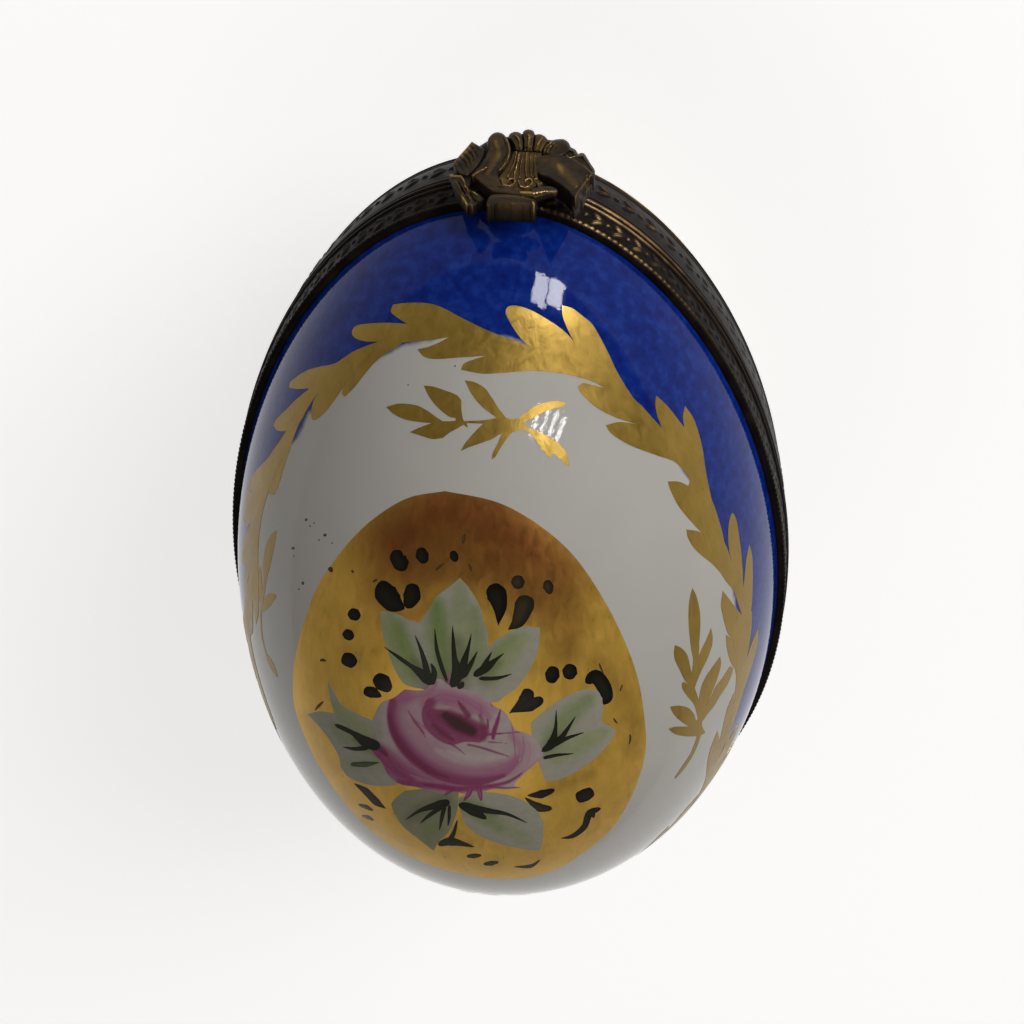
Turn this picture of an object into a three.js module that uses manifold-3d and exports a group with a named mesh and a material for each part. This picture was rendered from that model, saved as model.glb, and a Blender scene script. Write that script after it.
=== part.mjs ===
// Hinged porcelain egg box: two glazed half-egg shells set in brass bezels, a three-knuckle hinge at the
// blunt end and a cast snap clasp at the narrow end. Millimetres, +Z up. The box lies on the flat foot of
// its base. The origin is the centre of that foot, and the long axis runs along Y with the clasp at -Y.
import * as THREE from "three";
import { mergeVertices } from "three/addons/utils/BufferGeometryUtils.js";
import Module from "manifold-3d";

const wasm = await Module();
wasm.setup();

// Porcelain egg
const EGG_LENGTH = 65; // narrow end to blunt end
const EGG_WIDTH = 43; // at the widest section, which is at y = 0
const EGG_SKEW = 0.087; // how much fuller the blunt end is than the narrow one
const LID_RISE = 23.3; // seam to the crown of the lid
const BASE_DROP = 22; // seam to the lowest point that the base egg would have without its flat foot
const SEAM_HEIGHT = 20.2; // foot to the seam between the two bezels
const WALL = 2.4; // porcelain thickness
const FLOOR = 2.6; // porcelain thickness over the foot
const EGG_RINGS = 26; // steps from end to end
const EGG_SEGMENTS = 40; // steps around the long axis

// Brass bezels and their cement beds
const LID_BEZEL_HEIGHT = 2.5;
const BASE_BEZEL_HEIGHT = 5.7;
const BEZEL_THICKNESS = 0.4; // of the band outside the porcelain
const SETTING_GAP = 0.3; // between the band and the porcelain
const FLANGE_THICKNESS = 0.6; // of the flange under the porcelain rim
const CEMENT_THICKNESS = 0.4;
const SEAM_GAP = 0.2; // between the two closed flanges

// Hinge at the blunt end
const HINGE_WIDTH = 12.6;
const HINGE_SETBACK = 2.3; // bezel to the hinge axis
const LID_KNUCKLE_LENGTH = 4.4;
const KNUCKLE_GAP = 0.3; // between neighbouring knuckles
const BARREL_RADIUS = 1.3;
const BARREL_GAP = 0.3; // between the barrel and the leaves
const PIN_RADIUS = 0.55;
const PIN_CLEARANCE = 0.08; // radial, pin in knuckle
const PIN_HEAD_RADIUS = 0.9;
const PIN_HEAD_THICKNESS = 0.45;
const PIN_END_PLAY = 0.15; // between each head and its knuckle
const BASE_LEAF_HEIGHT = 3.1;
const LID_LEAF_HEIGHT = 2.6;
const LEAF_SEAM_GAP = 0.3; // from the seam to each leaf
const LEAF_FACE_SETBACK = 0.75; // hinge axis to the outer face of the leaves
const STOP_LUG_REACH = 2.5; // hinge axis to the tip of the stop lug
const STOP_LUG_THICKNESS = 0.8;
const STOP_LUG_TILT = THREE.MathUtils.degToRad(5); // above level while the lid is shut
const ROUND_SEGMENTS = 20;

// Clasp at the narrow end. Its heights are counted from the middle of the motif towards the crest, and its
// depths from the bezel outwards.
const SEAT_GAP = 0.3; // between soldered pieces and the bezel that carries them
const BLANK_DEPTH = 6; // of the blanks behind the bezel's front, before they are cut to its curve
const CLASP_STANDOFF = 0.6; // base bezel to the back of the overhanging motif
const CLASP_DROP = 0.3; // seam to the middle of the motif
const CLASP_SHIFT = 1.3; // of the motif off the middle, towards -X
const PLATE_WIDTH = 6.4;
const PLATE_HEIGHT = 7.4;
const PLATE_DROP = 1.2; // middle of the motif to the middle of the plate
const PLATE_FRONT = 1.5;
const LYRE_FOOT_HALF_WIDTH = 2.4; // to the middle of the arms
const LYRE_BELLY_HALF_WIDTH = 2.05;
const LYRE_NECK_HALF_WIDTH = 1.95;
const LYRE_TOP_HALF_WIDTH = 2.05;
const LYRE_TOP = 1.7; // middle of the motif to the rolled upper ends of the arms
const LYRE_BELLY_HEIGHT = 1.3; // above the foot of the arms
const LYRE_NECK_HEIGHT = 3;
const LYRE_HEIGHT = 4.8;
const LYRE_ARM_WIDTH = 1.6;
const LYRE_ARM_DEPTH = 1.1;
const LOBE_RADIUS = 0.85; // of the rolled upper ends of the arms
const STRING_COUNT = 4;
const STRING_PITCH = 0.55;
const STRING_RADIUS = 0.2;
const STRING_LENGTH = 3;
const STRING_TOP = 0.7;
const FAN_LOBES = 5;
const FAN_ROOT = 0.5;
const FAN_RADIUS = 3.2; // of the crest of lobes, from its root
const FAN_SPREAD = THREE.MathUtils.degToRad(66);
const FAN_LOBE_RADIUS = 0.5;
const LEDGE_WIDTH = 4.8;
const LEDGE_HEIGHT = 1.1;
const LEDGE_DROP = 4.95; // middle of the motif to the middle of the ledge
const LEDGE_SHIFT = 0.4; // towards the folded block
const LEDGE_BACK = 0.7;
const LEDGE_FRONT = 2.15;
const HORN_LENGTH = 3; // of the ridged horn beside the lyre
const HORN_MOUTH_RADIUS = 0.9;
const HORN_FOOT_RADIUS = 0.8;
const HORN_OFFSET = 3.7; // middle of the motif to the middle of the horn
const HORN_LEAN = THREE.MathUtils.degToRad(-18);
const RIBBON_LENGTH = 3.6; // of the swag below the horn, between the middles of its rounded ends
const RIBBON_RADIUS = 0.6;
const RIBBON_OFFSET = 3.5;
const RIBBON_DROP = 3.6;
const RIBBON_DEPTH = 0.8;
const RIBBON_LEAN = THREE.MathUtils.degToRad(26);
const BOOK_CORNERS = [[0.8, 0], [3.1, 0.3], [5, -1.9], [4.1, -5.1], [2.8, -3.9], [1, -2.8]]; // folded block
const BOOK_BACK = 0.4;
const BOOK_FRONT = 1.9;
const TAB_WIDTH = 3.4;
const TAB_HEIGHT = 1.2;
const TAB_BACK = 0.5;
const TAB_FRONT = 1.85;
const TAB_GAP = 0.2; // between the ledge and the tab
const TAB_CORNER_RADIUS = 0.4;
const TONGUE_WIDTH = 2.6;
const TONGUE_THICKNESS = 0.3;
const TONGUE_DROP = 2; // seam to the free end
const TONGUE_RISE = 2.3; // seam to the soldered end
const TONGUE_ROOT_HEIGHT = 1.3; // of the thick soldered end
const POCKET_CLEARANCE = 0.25; // around the tongue in the motif
const STUD_RADIUS = 0.6;
const STUD_DROP = 1.1; // seam to the middle of the catch stud
const STUD_CLEARANCE = 0.12; // between the stud and the tongue
const STUD_SEAT_GAP = 0.1; // between the stud and the base bezel
const STUD_STEPS = 4; // from the edge of the dome to its top
const TRIM_SEGMENTS = 12; // around the small round pieces of the clasp
const TRIM_RINGS = 8;
const STRING_SIDES = 6;
const OUTLINE_STEPS = 4; // along each quarter of a small curve

// Places worked out from the sizes
const WIDEST_COSINE = (1 - Math.sqrt(1 + 8 * EGG_SKEW ** 2)) / (4 * EGG_SKEW);
const MIDDLE_Y = (EGG_LENGTH / 2) * WIDEST_COSINE;
const BEZEL_PROUD = SETTING_GAP + BEZEL_THICKNESS;
const BEZEL_FRONT_Y = MIDDLE_Y - EGG_LENGTH / 2 - BEZEL_PROUD;
const BEZEL_BACK_Y = MIDDLE_Y + EGG_LENGTH / 2 + BEZEL_PROUD;
const HINGE_Y = BEZEL_BACK_Y + HINGE_SETBACK;
const BORE_RADIUS = PIN_RADIUS + PIN_CLEARANCE;
const BASE_KNUCKLE_LENGTH = (HINGE_WIDTH - LID_KNUCKLE_LENGTH) / 2 - KNUCKLE_GAP;
const BASE_KNUCKLE_X = (HINGE_WIDTH - BASE_KNUCKLE_LENGTH) / 2;
const CLASP_BACK_Y = BEZEL_FRONT_Y - CLASP_STANDOFF;
const FAR = 2 * (EGG_LENGTH + EGG_WIDTH); // longer than anything that is cut

const GLAZE_WHITE = { color: 0xe6e1d8, roughness: 0.12, metalness: 0 };
const COBALT_GLAZE = { color: 0x1b2f8a, roughness: 0.12, metalness: 0 };
const CEMENT = { color: 0xcfc8ba, roughness: 0.9, metalness: 0 };
const BRONZED_BRASS = { color: 0x4a3c30, roughness: 0.45, metalness: 1 };
const RUBBED_BRASS = { color: 0x7d6238, roughness: 0.35, metalness: 1 };

// A closed solid from a geometry, with its shared vertices merged and flat slivers at poles left out.
function solid(geometry) {
  const bare = geometry.clone();
  bare.deleteAttribute("normal");
  bare.deleteAttribute("uv");
  const merged = mergeVertices(bare, 1e-4);
  const corners = merged.index.array;
  const triangles = [];
  for (let i = 0; i < corners.length; i += 3) {
    const [a, b, c] = [corners[i], corners[i + 1], corners[i + 2]];
    if (a !== b && b !== c && c !== a) triangles.push(a, b, c);
  }
  const vertProperties = new Float32Array(merged.attributes.position.array);
  const triVerts = new Uint32Array(triangles);
  return new wasm.Manifold(new wasm.Mesh({ numProp: 3, vertProperties, triVerts }));
}

function piece(name, body, finish) {
  const { vertProperties, triVerts } = body.getMesh();
  const geometry = new THREE.BufferGeometry();
  geometry.setAttribute("position", new THREE.BufferAttribute(vertProperties, 3));
  geometry.setIndex(new THREE.BufferAttribute(triVerts, 1));
  geometry.computeVertexNormals();
  const mesh = new THREE.Mesh(geometry, new THREE.MeshStandardMaterial(finish));
  mesh.name = name;
  return mesh;
}

function union(bodies) {
  return bodies.reduce((whole, body) => whole.add(body));
}

// Width of the egg along its length: turn runs from 0 at the narrow end to PI at the blunt end.
function fullness(turn) {
  return Math.sin(turn) * (1 - EGG_SKEW * Math.cos(turn));
}

function eggProfile(offset) {
  const widest = fullness(Math.acos(WIDEST_COSINE));
  const points = [];
  for (let ring = 0; ring <= EGG_RINGS; ring++) {
    const turn = (Math.PI * ring) / EGG_RINGS;
    const isEnd = ring === 0 || ring === EGG_RINGS;
    const radius = isEnd ? 0 : ((EGG_WIDTH / 2 + offset) * fullness(turn)) / widest;
    points.push(new THREE.Vector2(radius, MIDDLE_Y - (EGG_LENGTH / 2 + offset) * Math.cos(turn)));
  }
  return points;
}

// The egg grown by an offset, with its widest height above and below the seam set by rise.
function egg(offset, rise) {
  const geometry = new THREE.LatheGeometry(eggProfile(offset), EGG_SEGMENTS);
  geometry.scale(1, 1, (rise + offset) / (EGG_WIDTH / 2 + offset));
  geometry.translate(0, 0, SEAM_HEIGHT);
  return solid(geometry);
}

// Everything between two heights.
function slab(bottom, top) {
  const geometry = new THREE.BoxGeometry(FAR, FAR, top - bottom);
  geometry.translate(0, 0, (bottom + top) / 2);
  return solid(geometry);
}

// An upright prism on the egg's plan outline grown by an offset, between two heights.
function outlinePrism(offset, bottom, top) {
  const right = eggProfile(offset);
  const left = right.slice(1, -1).reverse().map((point) => new THREE.Vector2(-point.x, point.y));
  const shape = new THREE.Shape([...right, ...left]);
  const geometry = new THREE.ExtrudeGeometry(shape, { depth: top - bottom, bevelEnabled: false });
  geometry.translate(0, 0, bottom);
  return solid(geometry);
}

function box(sizeX, sizeY, sizeZ, x, y, z) {
  const geometry = new THREE.BoxGeometry(sizeX, sizeY, sizeZ);
  geometry.translate(x, y, z);
  return solid(geometry);
}

// A cylinder along X, centred on the origin.
function crossBar(radius, length) {
  const geometry = new THREE.CylinderGeometry(radius, radius, length, ROUND_SEGMENTS);
  geometry.rotateZ(Math.PI / 2);
  return solid(geometry);
}

// Heights of one half's bezel, flange and porcelain rim, counted from the seam.
const FLANGE_FACE = SEAM_GAP / 2 + FLANGE_THICKNESS;
const RIM = FLANGE_FACE + CEMENT_THICKNESS;

function levels(side, from, to) {
  const a = SEAM_HEIGHT + side * from;
  const b = SEAM_HEIGHT + side * to;
  return slab(Math.min(a, b), Math.max(a, b));
}

function lidShell() {
  const outside = egg(0, LID_RISE).intersect(levels(1, RIM, FAR));
  return outside.subtract(egg(-WALL, LID_RISE));
}

function baseShell() {
  const outside = egg(0, BASE_DROP).intersect(slab(0, SEAM_HEIGHT - RIM));
  const hollow = egg(-WALL, BASE_DROP).intersect(slab(FLOOR, FAR));
  return outside.subtract(hollow);
}

// A band round the porcelain with a flange turned in under the rim.
function bezel(side, rise, height) {
  const belt = egg(BEZEL_PROUD, rise).intersect(levels(side, SEAM_GAP / 2, SEAM_GAP / 2 + height));
  const seat = egg(SETTING_GAP, rise).intersect(levels(side, FLANGE_FACE, FAR));
  return belt.subtract(seat).subtract(egg(-WALL, rise));
}

function rimCement(side, rise) {
  const bed = egg(0, rise).intersect(levels(side, FLANGE_FACE, RIM));
  return bed.subtract(egg(-WALL, rise));
}

// A block on the bezel, hollowed to the bezel's curve on one side and to the barrel on the other.
function hingeLeaf(side, rise, height) {
  const faceY = HINGE_Y - LEAF_FACE_SETBACK;
  const middleZ = SEAM_HEIGHT + side * (LEAF_SEAM_GAP + height / 2);
  const block = box(HINGE_WIDTH, BLANK_DEPTH, height, 0, faceY - BLANK_DEPTH / 2, middleZ);
  const barrel = crossBar(BARREL_RADIUS + BARREL_GAP, FAR).translate([0, HINGE_Y, SEAM_HEIGHT]);
  return block.subtract(egg(BEZEL_PROUD + SEAT_GAP, rise)).subtract(barrel);
}

function knuckle(length) {
  return crossBar(BARREL_RADIUS, length).subtract(crossBar(BORE_RADIUS, FAR));
}

// The lid's knuckle has a lug that swings down against the base leaf and stops the lid.
function stoppedKnuckle() {
  const lug = new THREE.BoxGeometry(LID_KNUCKLE_LENGTH, STOP_LUG_REACH, STOP_LUG_THICKNESS);
  lug.translate(0, STOP_LUG_REACH / 2, 0);
  lug.rotateX(STOP_LUG_TILT);
  const whole = crossBar(BARREL_RADIUS, LID_KNUCKLE_LENGTH).add(solid(lug));
  return whole.subtract(crossBar(BORE_RADIUS, FAR));
}

function hingePin() {
  const shankEnd = HINGE_WIDTH / 2 + PIN_END_PLAY;
  const headEnd = shankEnd + PIN_HEAD_THICKNESS;
  const crownRadius = (PIN_HEAD_RADIUS + PIN_RADIUS) / 2;
  const half = [
    new THREE.Vector2(PIN_RADIUS, shankEnd),
    new THREE.Vector2(PIN_HEAD_RADIUS, shankEnd),
    new THREE.Vector2(PIN_HEAD_RADIUS, (shankEnd + headEnd) / 2),
    new THREE.Vector2(crownRadius, headEnd),
    new THREE.Vector2(0, headEnd),
  ];
  const lower = half.map((point) => new THREE.Vector2(point.x, -point.y)).reverse();
  const geometry = new THREE.LatheGeometry([...lower, ...half], ROUND_SEGMENTS);
  geometry.rotateZ(Math.PI / 2);
  return solid(geometry);
}

// The clasp is drawn as its face is read with the crest up: x to the right, y up and z out of the face,
// from the middle of the motif at the bezel. On the box it hangs crest down.
const CLASP_PLACE = new THREE.Matrix4()
  .makeTranslation(-CLASP_SHIFT, BEZEL_FRONT_Y, SEAM_HEIGHT - CLASP_DROP)
  .multiply(new THREE.Matrix4().makeRotationX(Math.PI / 2))
  .multiply(new THREE.Matrix4().makeRotationZ(Math.PI));

function onClasp(geometry) {
  return solid(geometry.applyMatrix4(CLASP_PLACE));
}

// A flat shape on the clasp, from behind the bezel's front out to a height over it.
function claspBlank(shape, front, curveSegments) {
  const depth = front + BLANK_DEPTH;
  const geometry = new THREE.ExtrudeGeometry(shape, { depth, bevelEnabled: false, curveSegments });
  return geometry.translate(0, 0, -BLANK_DEPTH);
}

function claspPlate() {
  const shape = new THREE.Shape();
  shape.absellipse(0, -PLATE_DROP, PLATE_WIDTH / 2, PLATE_HEIGHT / 2, 0, 2 * Math.PI, false, 0);
  return onClasp(claspBlank(shape, PLATE_FRONT, 4 * OUTLINE_STEPS));
}

// A flat shape on the clasp between two depths.
function claspSlab(shape, back, front, curveSegments) {
  const settings = { depth: front - back, bevelEnabled: false, curveSegments };
  return new THREE.ExtrudeGeometry(shape, settings).translate(0, 0, back);
}

// A rectangle with its corners rounded by arcs, centred on the origin.
function roundedRectangle(width, height, radius) {
  const [w, h] = [width / 2 - radius, height / 2 - radius];
  const shape = new THREE.Shape();
  shape.absarc(w, h, radius, 0, Math.PI / 2);
  shape.absarc(-w, h, radius, Math.PI / 2, Math.PI);
  shape.absarc(-w, -h, radius, Math.PI, 1.5 * Math.PI);
  shape.absarc(w, -h, radius, 1.5 * Math.PI, 2 * Math.PI);
  return shape;
}

function lyreArm(side) {
  const foot = LYRE_TOP - LYRE_HEIGHT;
  const route = [
    new THREE.Vector3(side * LYRE_FOOT_HALF_WIDTH, foot, PLATE_FRONT),
    new THREE.Vector3(side * LYRE_BELLY_HALF_WIDTH, foot + LYRE_BELLY_HEIGHT, PLATE_FRONT),
    new THREE.Vector3(side * LYRE_NECK_HALF_WIDTH, foot + LYRE_NECK_HEIGHT, PLATE_FRONT),
    new THREE.Vector3(side * LYRE_TOP_HALF_WIDTH, LYRE_TOP, PLATE_FRONT),
  ];
  const section = new THREE.Shape();
  section.absellipse(0, 0, LYRE_ARM_DEPTH / 2, LYRE_ARM_WIDTH / 2, 0, 2 * Math.PI, false, 0);
  const extrudePath = new THREE.CatmullRomCurve3(route);
  const settings = { steps: TRIM_SEGMENTS, extrudePath, curveSegments: OUTLINE_STEPS, bevelEnabled: false };
  const arm = onClasp(new THREE.ExtrudeGeometry(section, settings));
  const lobe = new THREE.SphereGeometry(LOBE_RADIUS, TRIM_SEGMENTS, TRIM_RINGS);
  lobe.scale(1, 1, LYRE_ARM_DEPTH / LYRE_ARM_WIDTH);
  lobe.translate(side * LYRE_TOP_HALF_WIDTH, LYRE_TOP, PLATE_FRONT);
  return arm.add(onClasp(lobe));
}

function lyreString(number) {
  const geometry = new THREE.CylinderGeometry(STRING_RADIUS, STRING_RADIUS, STRING_LENGTH, STRING_SIDES);
  const offset = (number - (STRING_COUNT - 1) / 2) * STRING_PITCH;
  geometry.translate(offset, STRING_TOP - STRING_LENGTH / 2, PLATE_FRONT);
  return onClasp(geometry);
}

function fanLobe(number) {
  const angle = (number / (FAN_LOBES - 1) - 0.5) * FAN_SPREAD;
  const geometry = new THREE.SphereGeometry(FAN_LOBE_RADIUS, TRIM_SEGMENTS, TRIM_RINGS);
  geometry.scale(1, FAN_RADIUS / (2 * FAN_LOBE_RADIUS), 1);
  geometry.translate(0, FAN_RADIUS / 2, 0);
  geometry.rotateZ(-angle);
  geometry.translate(0, FAN_ROOT, PLATE_FRONT - FAN_LOBE_RADIUS / 2);
  return onClasp(geometry);
}

function horn() {
  const radii = [HORN_MOUTH_RADIUS, HORN_FOOT_RADIUS];
  const geometry = new THREE.CylinderGeometry(...radii, HORN_LENGTH, TRIM_SEGMENTS);
  geometry.rotateZ(HORN_LEAN);
  geometry.translate(-HORN_OFFSET, 0, PLATE_FRONT - HORN_FOOT_RADIUS);
  return onClasp(geometry);
}

function ribbon() {
  const geometry = new THREE.CapsuleGeometry(RIBBON_RADIUS, RIBBON_LENGTH, OUTLINE_STEPS, TRIM_SEGMENTS);
  geometry.rotateZ(RIBBON_LEAN);
  geometry.translate(-RIBBON_OFFSET, -RIBBON_DROP, RIBBON_DEPTH);
  return onClasp(geometry);
}

function book() {
  const shape = new THREE.Shape(BOOK_CORNERS.map(([x, y]) => new THREE.Vector2(x, y)));
  return onClasp(claspSlab(shape, BOOK_BACK, BOOK_FRONT));
}

function ledge() {
  const geometry = new THREE.BoxGeometry(LEDGE_WIDTH, LEDGE_HEIGHT, LEDGE_FRONT - LEDGE_BACK);
  geometry.translate(LEDGE_SHIFT, -LEDGE_DROP, (LEDGE_FRONT + LEDGE_BACK) / 2);
  return onClasp(geometry);
}

// Room behind the motif: the base bezel passes upright behind its overhang, and the lid bezel carries it.
function claspRoom() {
  const passing = outlinePrism(BEZEL_PROUD + CLASP_STANDOFF, 0, SEAM_HEIGHT + SEAM_GAP);
  const pocketTop = SEAM_HEIGHT + TONGUE_RISE + POCKET_CLEARANCE;
  const pocketBottom = SEAM_HEIGHT - TONGUE_DROP - POCKET_CLEARANCE;
  const pocketFront = CLASP_BACK_Y - TONGUE_THICKNESS - POCKET_CLEARANCE;
  const pocketWidth = TONGUE_WIDTH + 2 * POCKET_CLEARANCE;
  const pocketMiddle = (pocketTop + pocketBottom) / 2;
  const pocket = box(pocketWidth, BLANK_DEPTH, pocketTop - pocketBottom, -CLASP_SHIFT,
    pocketFront + BLANK_DEPTH / 2, pocketMiddle);
  return union([passing, egg(BEZEL_PROUD + SEAT_GAP, LID_RISE), pocket]);
}

function claspMotif() {
  const parts = [claspPlate(), lyreArm(-1), lyreArm(1), horn(), ribbon(), book(), ledge()];
  for (let number = 0; number < STRING_COUNT; number++) parts.push(lyreString(number));
  for (let number = 0; number < FAN_LOBES; number++) parts.push(fanLobe(number));
  return union(parts).subtract(claspRoom());
}

function thumbTab() {
  const shape = roundedRectangle(TAB_WIDTH, TAB_HEIGHT, TAB_CORNER_RADIUS);
  const geometry = claspSlab(shape, TAB_BACK, TAB_FRONT, OUTLINE_STEPS);
  geometry.translate(0, -LEDGE_DROP - LEDGE_HEIGHT / 2 - TAB_GAP - TAB_HEIGHT / 2, 0);
  return onClasp(geometry);
}

// A spring strip with a thick soldered root on the lid bezel and a free end in front of the catch stud.
function claspTongue() {
  const front = CLASP_BACK_Y - TONGUE_THICKNESS;
  const middleZ = SEAM_HEIGHT + (TONGUE_RISE - TONGUE_DROP) / 2;
  const strip = box(TONGUE_WIDTH, TONGUE_THICKNESS, TONGUE_DROP + TONGUE_RISE, -CLASP_SHIFT,
    front + TONGUE_THICKNESS / 2, middleZ);
  const rootZ = SEAM_HEIGHT + TONGUE_RISE - TONGUE_ROOT_HEIGHT / 2;
  const root = box(TONGUE_WIDTH, BLANK_DEPTH, TONGUE_ROOT_HEIGHT, -CLASP_SHIFT,
    front + BLANK_DEPTH / 2, rootZ);
  return strip.add(root).subtract(egg(BEZEL_PROUD + SEAT_GAP, LID_RISE));
}

// A domed stud standing out from the base bezel.
function catchStud() {
  const height = CLASP_STANDOFF - STUD_CLEARANCE;
  const profile = [new THREE.Vector2(0, -BEZEL_PROUD), new THREE.Vector2(STUD_RADIUS, -BEZEL_PROUD)];
  for (let step = 0; step <= STUD_STEPS; step++) {
    const turn = (step / STUD_STEPS) * (Math.PI / 2);
    const radius = step === STUD_STEPS ? 0 : STUD_RADIUS * Math.cos(turn);
    profile.push(new THREE.Vector2(radius, height * Math.sin(turn)));
  }
  const geometry = new THREE.LatheGeometry(profile, ROUND_SEGMENTS);
  geometry.rotateX(Math.PI);
  geometry.translate(-CLASP_SHIFT, BEZEL_FRONT_Y, SEAM_HEIGHT - STUD_DROP);
  return solid(geometry).subtract(egg(BEZEL_PROUD + STUD_SEAT_GAP, BASE_DROP));
}

function onHinge(mesh, x) {
  mesh.position.set(x, HINGE_Y, SEAM_HEIGHT);
  return mesh;
}

const base = new THREE.Group();
base.add(
  piece("base_shell", baseShell(), COBALT_GLAZE),
  piece("base_rim_cement", rimCement(-1, BASE_DROP), CEMENT),
  piece("base_bezel", bezel(-1, BASE_DROP, BASE_BEZEL_HEIGHT), BRONZED_BRASS),
  piece("base_hinge_leaf", hingeLeaf(-1, BASE_DROP, BASE_LEAF_HEIGHT), BRONZED_BRASS),
  onHinge(piece("base_knuckle_left", knuckle(BASE_KNUCKLE_LENGTH), BRONZED_BRASS), -BASE_KNUCKLE_X),
  onHinge(piece("base_knuckle_right", knuckle(BASE_KNUCKLE_LENGTH), BRONZED_BRASS), BASE_KNUCKLE_X),
  onHinge(piece("hinge_pin", hingePin(), RUBBED_BRASS), 0),
  piece("catch_stud", catchStud(), RUBBED_BRASS),
);

const lid = new THREE.Group();
lid.add(
  piece("lid_shell", lidShell(), GLAZE_WHITE),
  piece("lid_rim_cement", rimCement(1, LID_RISE), CEMENT),
  piece("lid_bezel", bezel(1, LID_RISE, LID_BEZEL_HEIGHT), BRONZED_BRASS),
  piece("lid_hinge_leaf", hingeLeaf(1, LID_RISE, LID_LEAF_HEIGHT), BRONZED_BRASS),
  onHinge(piece("lid_knuckle", stoppedKnuckle(), BRONZED_BRASS), 0),
  piece("clasp_motif", claspMotif(), RUBBED_BRASS),
  piece("clasp_thumb_tab", thumbTab(), RUBBED_BRASS),
  piece("clasp_tongue", claspTongue(), RUBBED_BRASS),
);

const eggBox = new THREE.Group();
eggBox.add(base, lid);

export default eggBox;
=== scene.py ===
"""Looks of the hinged porcelain egg box: glaze, cobalt ground, gilding, painting and bronzed fittings.

Sizes are in millimetres and become metres when a mesh is made. Heights on a half are counted from the seam
towards its crown, so the base half is drawn upside down and turned over at the end. Outlines and strokes are
drawn on enlarged sheets, each with its own origin and scale.
"""

import math

import bpy
import numpy as np
from mathutils import Matrix, Vector
from mathutils.geometry import delaunay_2d_cdt


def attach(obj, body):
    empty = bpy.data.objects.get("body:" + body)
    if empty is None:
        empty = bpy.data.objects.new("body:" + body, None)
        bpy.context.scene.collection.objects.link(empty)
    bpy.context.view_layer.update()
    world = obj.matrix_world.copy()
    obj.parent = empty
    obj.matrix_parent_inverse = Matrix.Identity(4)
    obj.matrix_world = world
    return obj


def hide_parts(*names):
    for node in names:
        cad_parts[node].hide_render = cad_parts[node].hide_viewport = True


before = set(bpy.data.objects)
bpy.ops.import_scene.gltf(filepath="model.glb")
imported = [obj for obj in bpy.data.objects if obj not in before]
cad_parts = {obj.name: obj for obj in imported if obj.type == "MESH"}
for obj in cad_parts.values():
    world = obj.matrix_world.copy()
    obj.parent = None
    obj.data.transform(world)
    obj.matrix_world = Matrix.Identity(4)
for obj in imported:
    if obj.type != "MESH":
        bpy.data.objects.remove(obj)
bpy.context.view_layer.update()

MM = 0.001
rng = np.random.default_rng(20)

# The egg, as in the solids, with the glaze a hair inside them so that the gilding stays in the same box
EGG_LENGTH = 65.0
EGG_WIDTH = 43.0
EGG_SKEW = 0.087
LID_RISE = 23.3
BASE_DROP = 22.0
SEAM_HEIGHT = 20.2
WALL = 2.4
FLOOR = 2.6
GLAZE_INSET = 0.06
RIM = 1.1
FLANGE_FACE = 0.7
HALF_SEAM_GAP = 0.1
LID_BEZEL_HEIGHT = 2.5
BASE_BEZEL_HEIGHT = 5.7

WIDEST_COSINE = (1 - math.sqrt(1 + 8 * EGG_SKEW**2)) / (4 * EGG_SKEW)
WIDEST = math.sqrt(1 - WIDEST_COSINE**2) * (1 - EGG_SKEW * WIDEST_COSINE)
MIDDLE_Y = EGG_LENGTH / 2 * WIDEST_COSINE

# The photograph's point of view
VIEW_AZIMUTH = -0.15866
VIEW_ELEVATION = 0.83863
VIEW_ROLL = -0.01339
VIEW_DISTANCE = 180.0
DRAWING_SCALE = 12.634  # drawing units to a millimetre
DRAWING_CENTRE = (509.77, 536.11)
IMAGE_SIZE = 1024
SENSOR = 36.0

# Egg surface
SETTLE_STEPS = 7
RING_HALVINGS = 48
OUTLINE_SAMPLES = 7201


def flatness(rise, inset):
    """Height of a half to half its width."""
    return (rise - inset) / (EGG_WIDTH / 2 - inset)


def girth(y, inset):
    """Squared half width of the egg at y, and its slope."""
    half = EGG_LENGTH / 2 - inset
    c = (MIDDLE_Y - y) / half
    scale = ((EGG_WIDTH / 2 - inset) / WIDEST) ** 2
    fat = 1 - EGG_SKEW * c
    slope = -2 * c * fat**2 - 2 * EGG_SKEW * (1 - c * c) * fat
    return scale * (1 - c * c) * fat**2, -scale * slope / half


def settle(points, rise, inset=GLAZE_INSET):
    """Points moved onto the egg surface, and its outward normals there."""
    p = np.array(points, float)
    flat = flatness(rise, inset)
    for _ in range(SETTLE_STEPS):
        square, slope = girth(p[..., 1], inset)
        miss = p[..., 0] ** 2 + (p[..., 2] / flat) ** 2 - square
        grad = np.stack([2 * p[..., 0], -slope, 2 * p[..., 2] / flat**2], -1)
        p = p - (miss / (grad**2).sum(-1))[..., None] * grad
    return p, grad / np.linalg.norm(grad, axis=-1, keepdims=True)


def ring(angles, height, rise, inset=GLAZE_INSET):
    """Points of the egg at one height, in plan directions from the crown."""
    flat = flatness(rise, inset)
    low = np.zeros_like(angles)
    high = np.full_like(angles, EGG_LENGTH)
    for _ in range(RING_HALVINGS):
        middle = (low + high) / 2
        square, _ = girth(middle * np.sin(angles), inset)
        inside = (middle * np.cos(angles)) ** 2 + (height / flat) ** 2 < square
        low = np.where(inside, middle, low)
        high = np.where(inside, high, middle)
    return np.stack([low * np.cos(angles), low * np.sin(angles), np.full_like(angles, height)], -1)


def flat_normals(loop):
    """Outward level normals of a closed counter-clockwise loop of points."""
    along = np.roll(loop, -1, 0) - np.roll(loop, 1, 0)
    out = np.stack([along[:, 1], -along[:, 0], np.zeros(len(loop))], -1)
    return out / np.linalg.norm(out, axis=1, keepdims=True)


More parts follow.
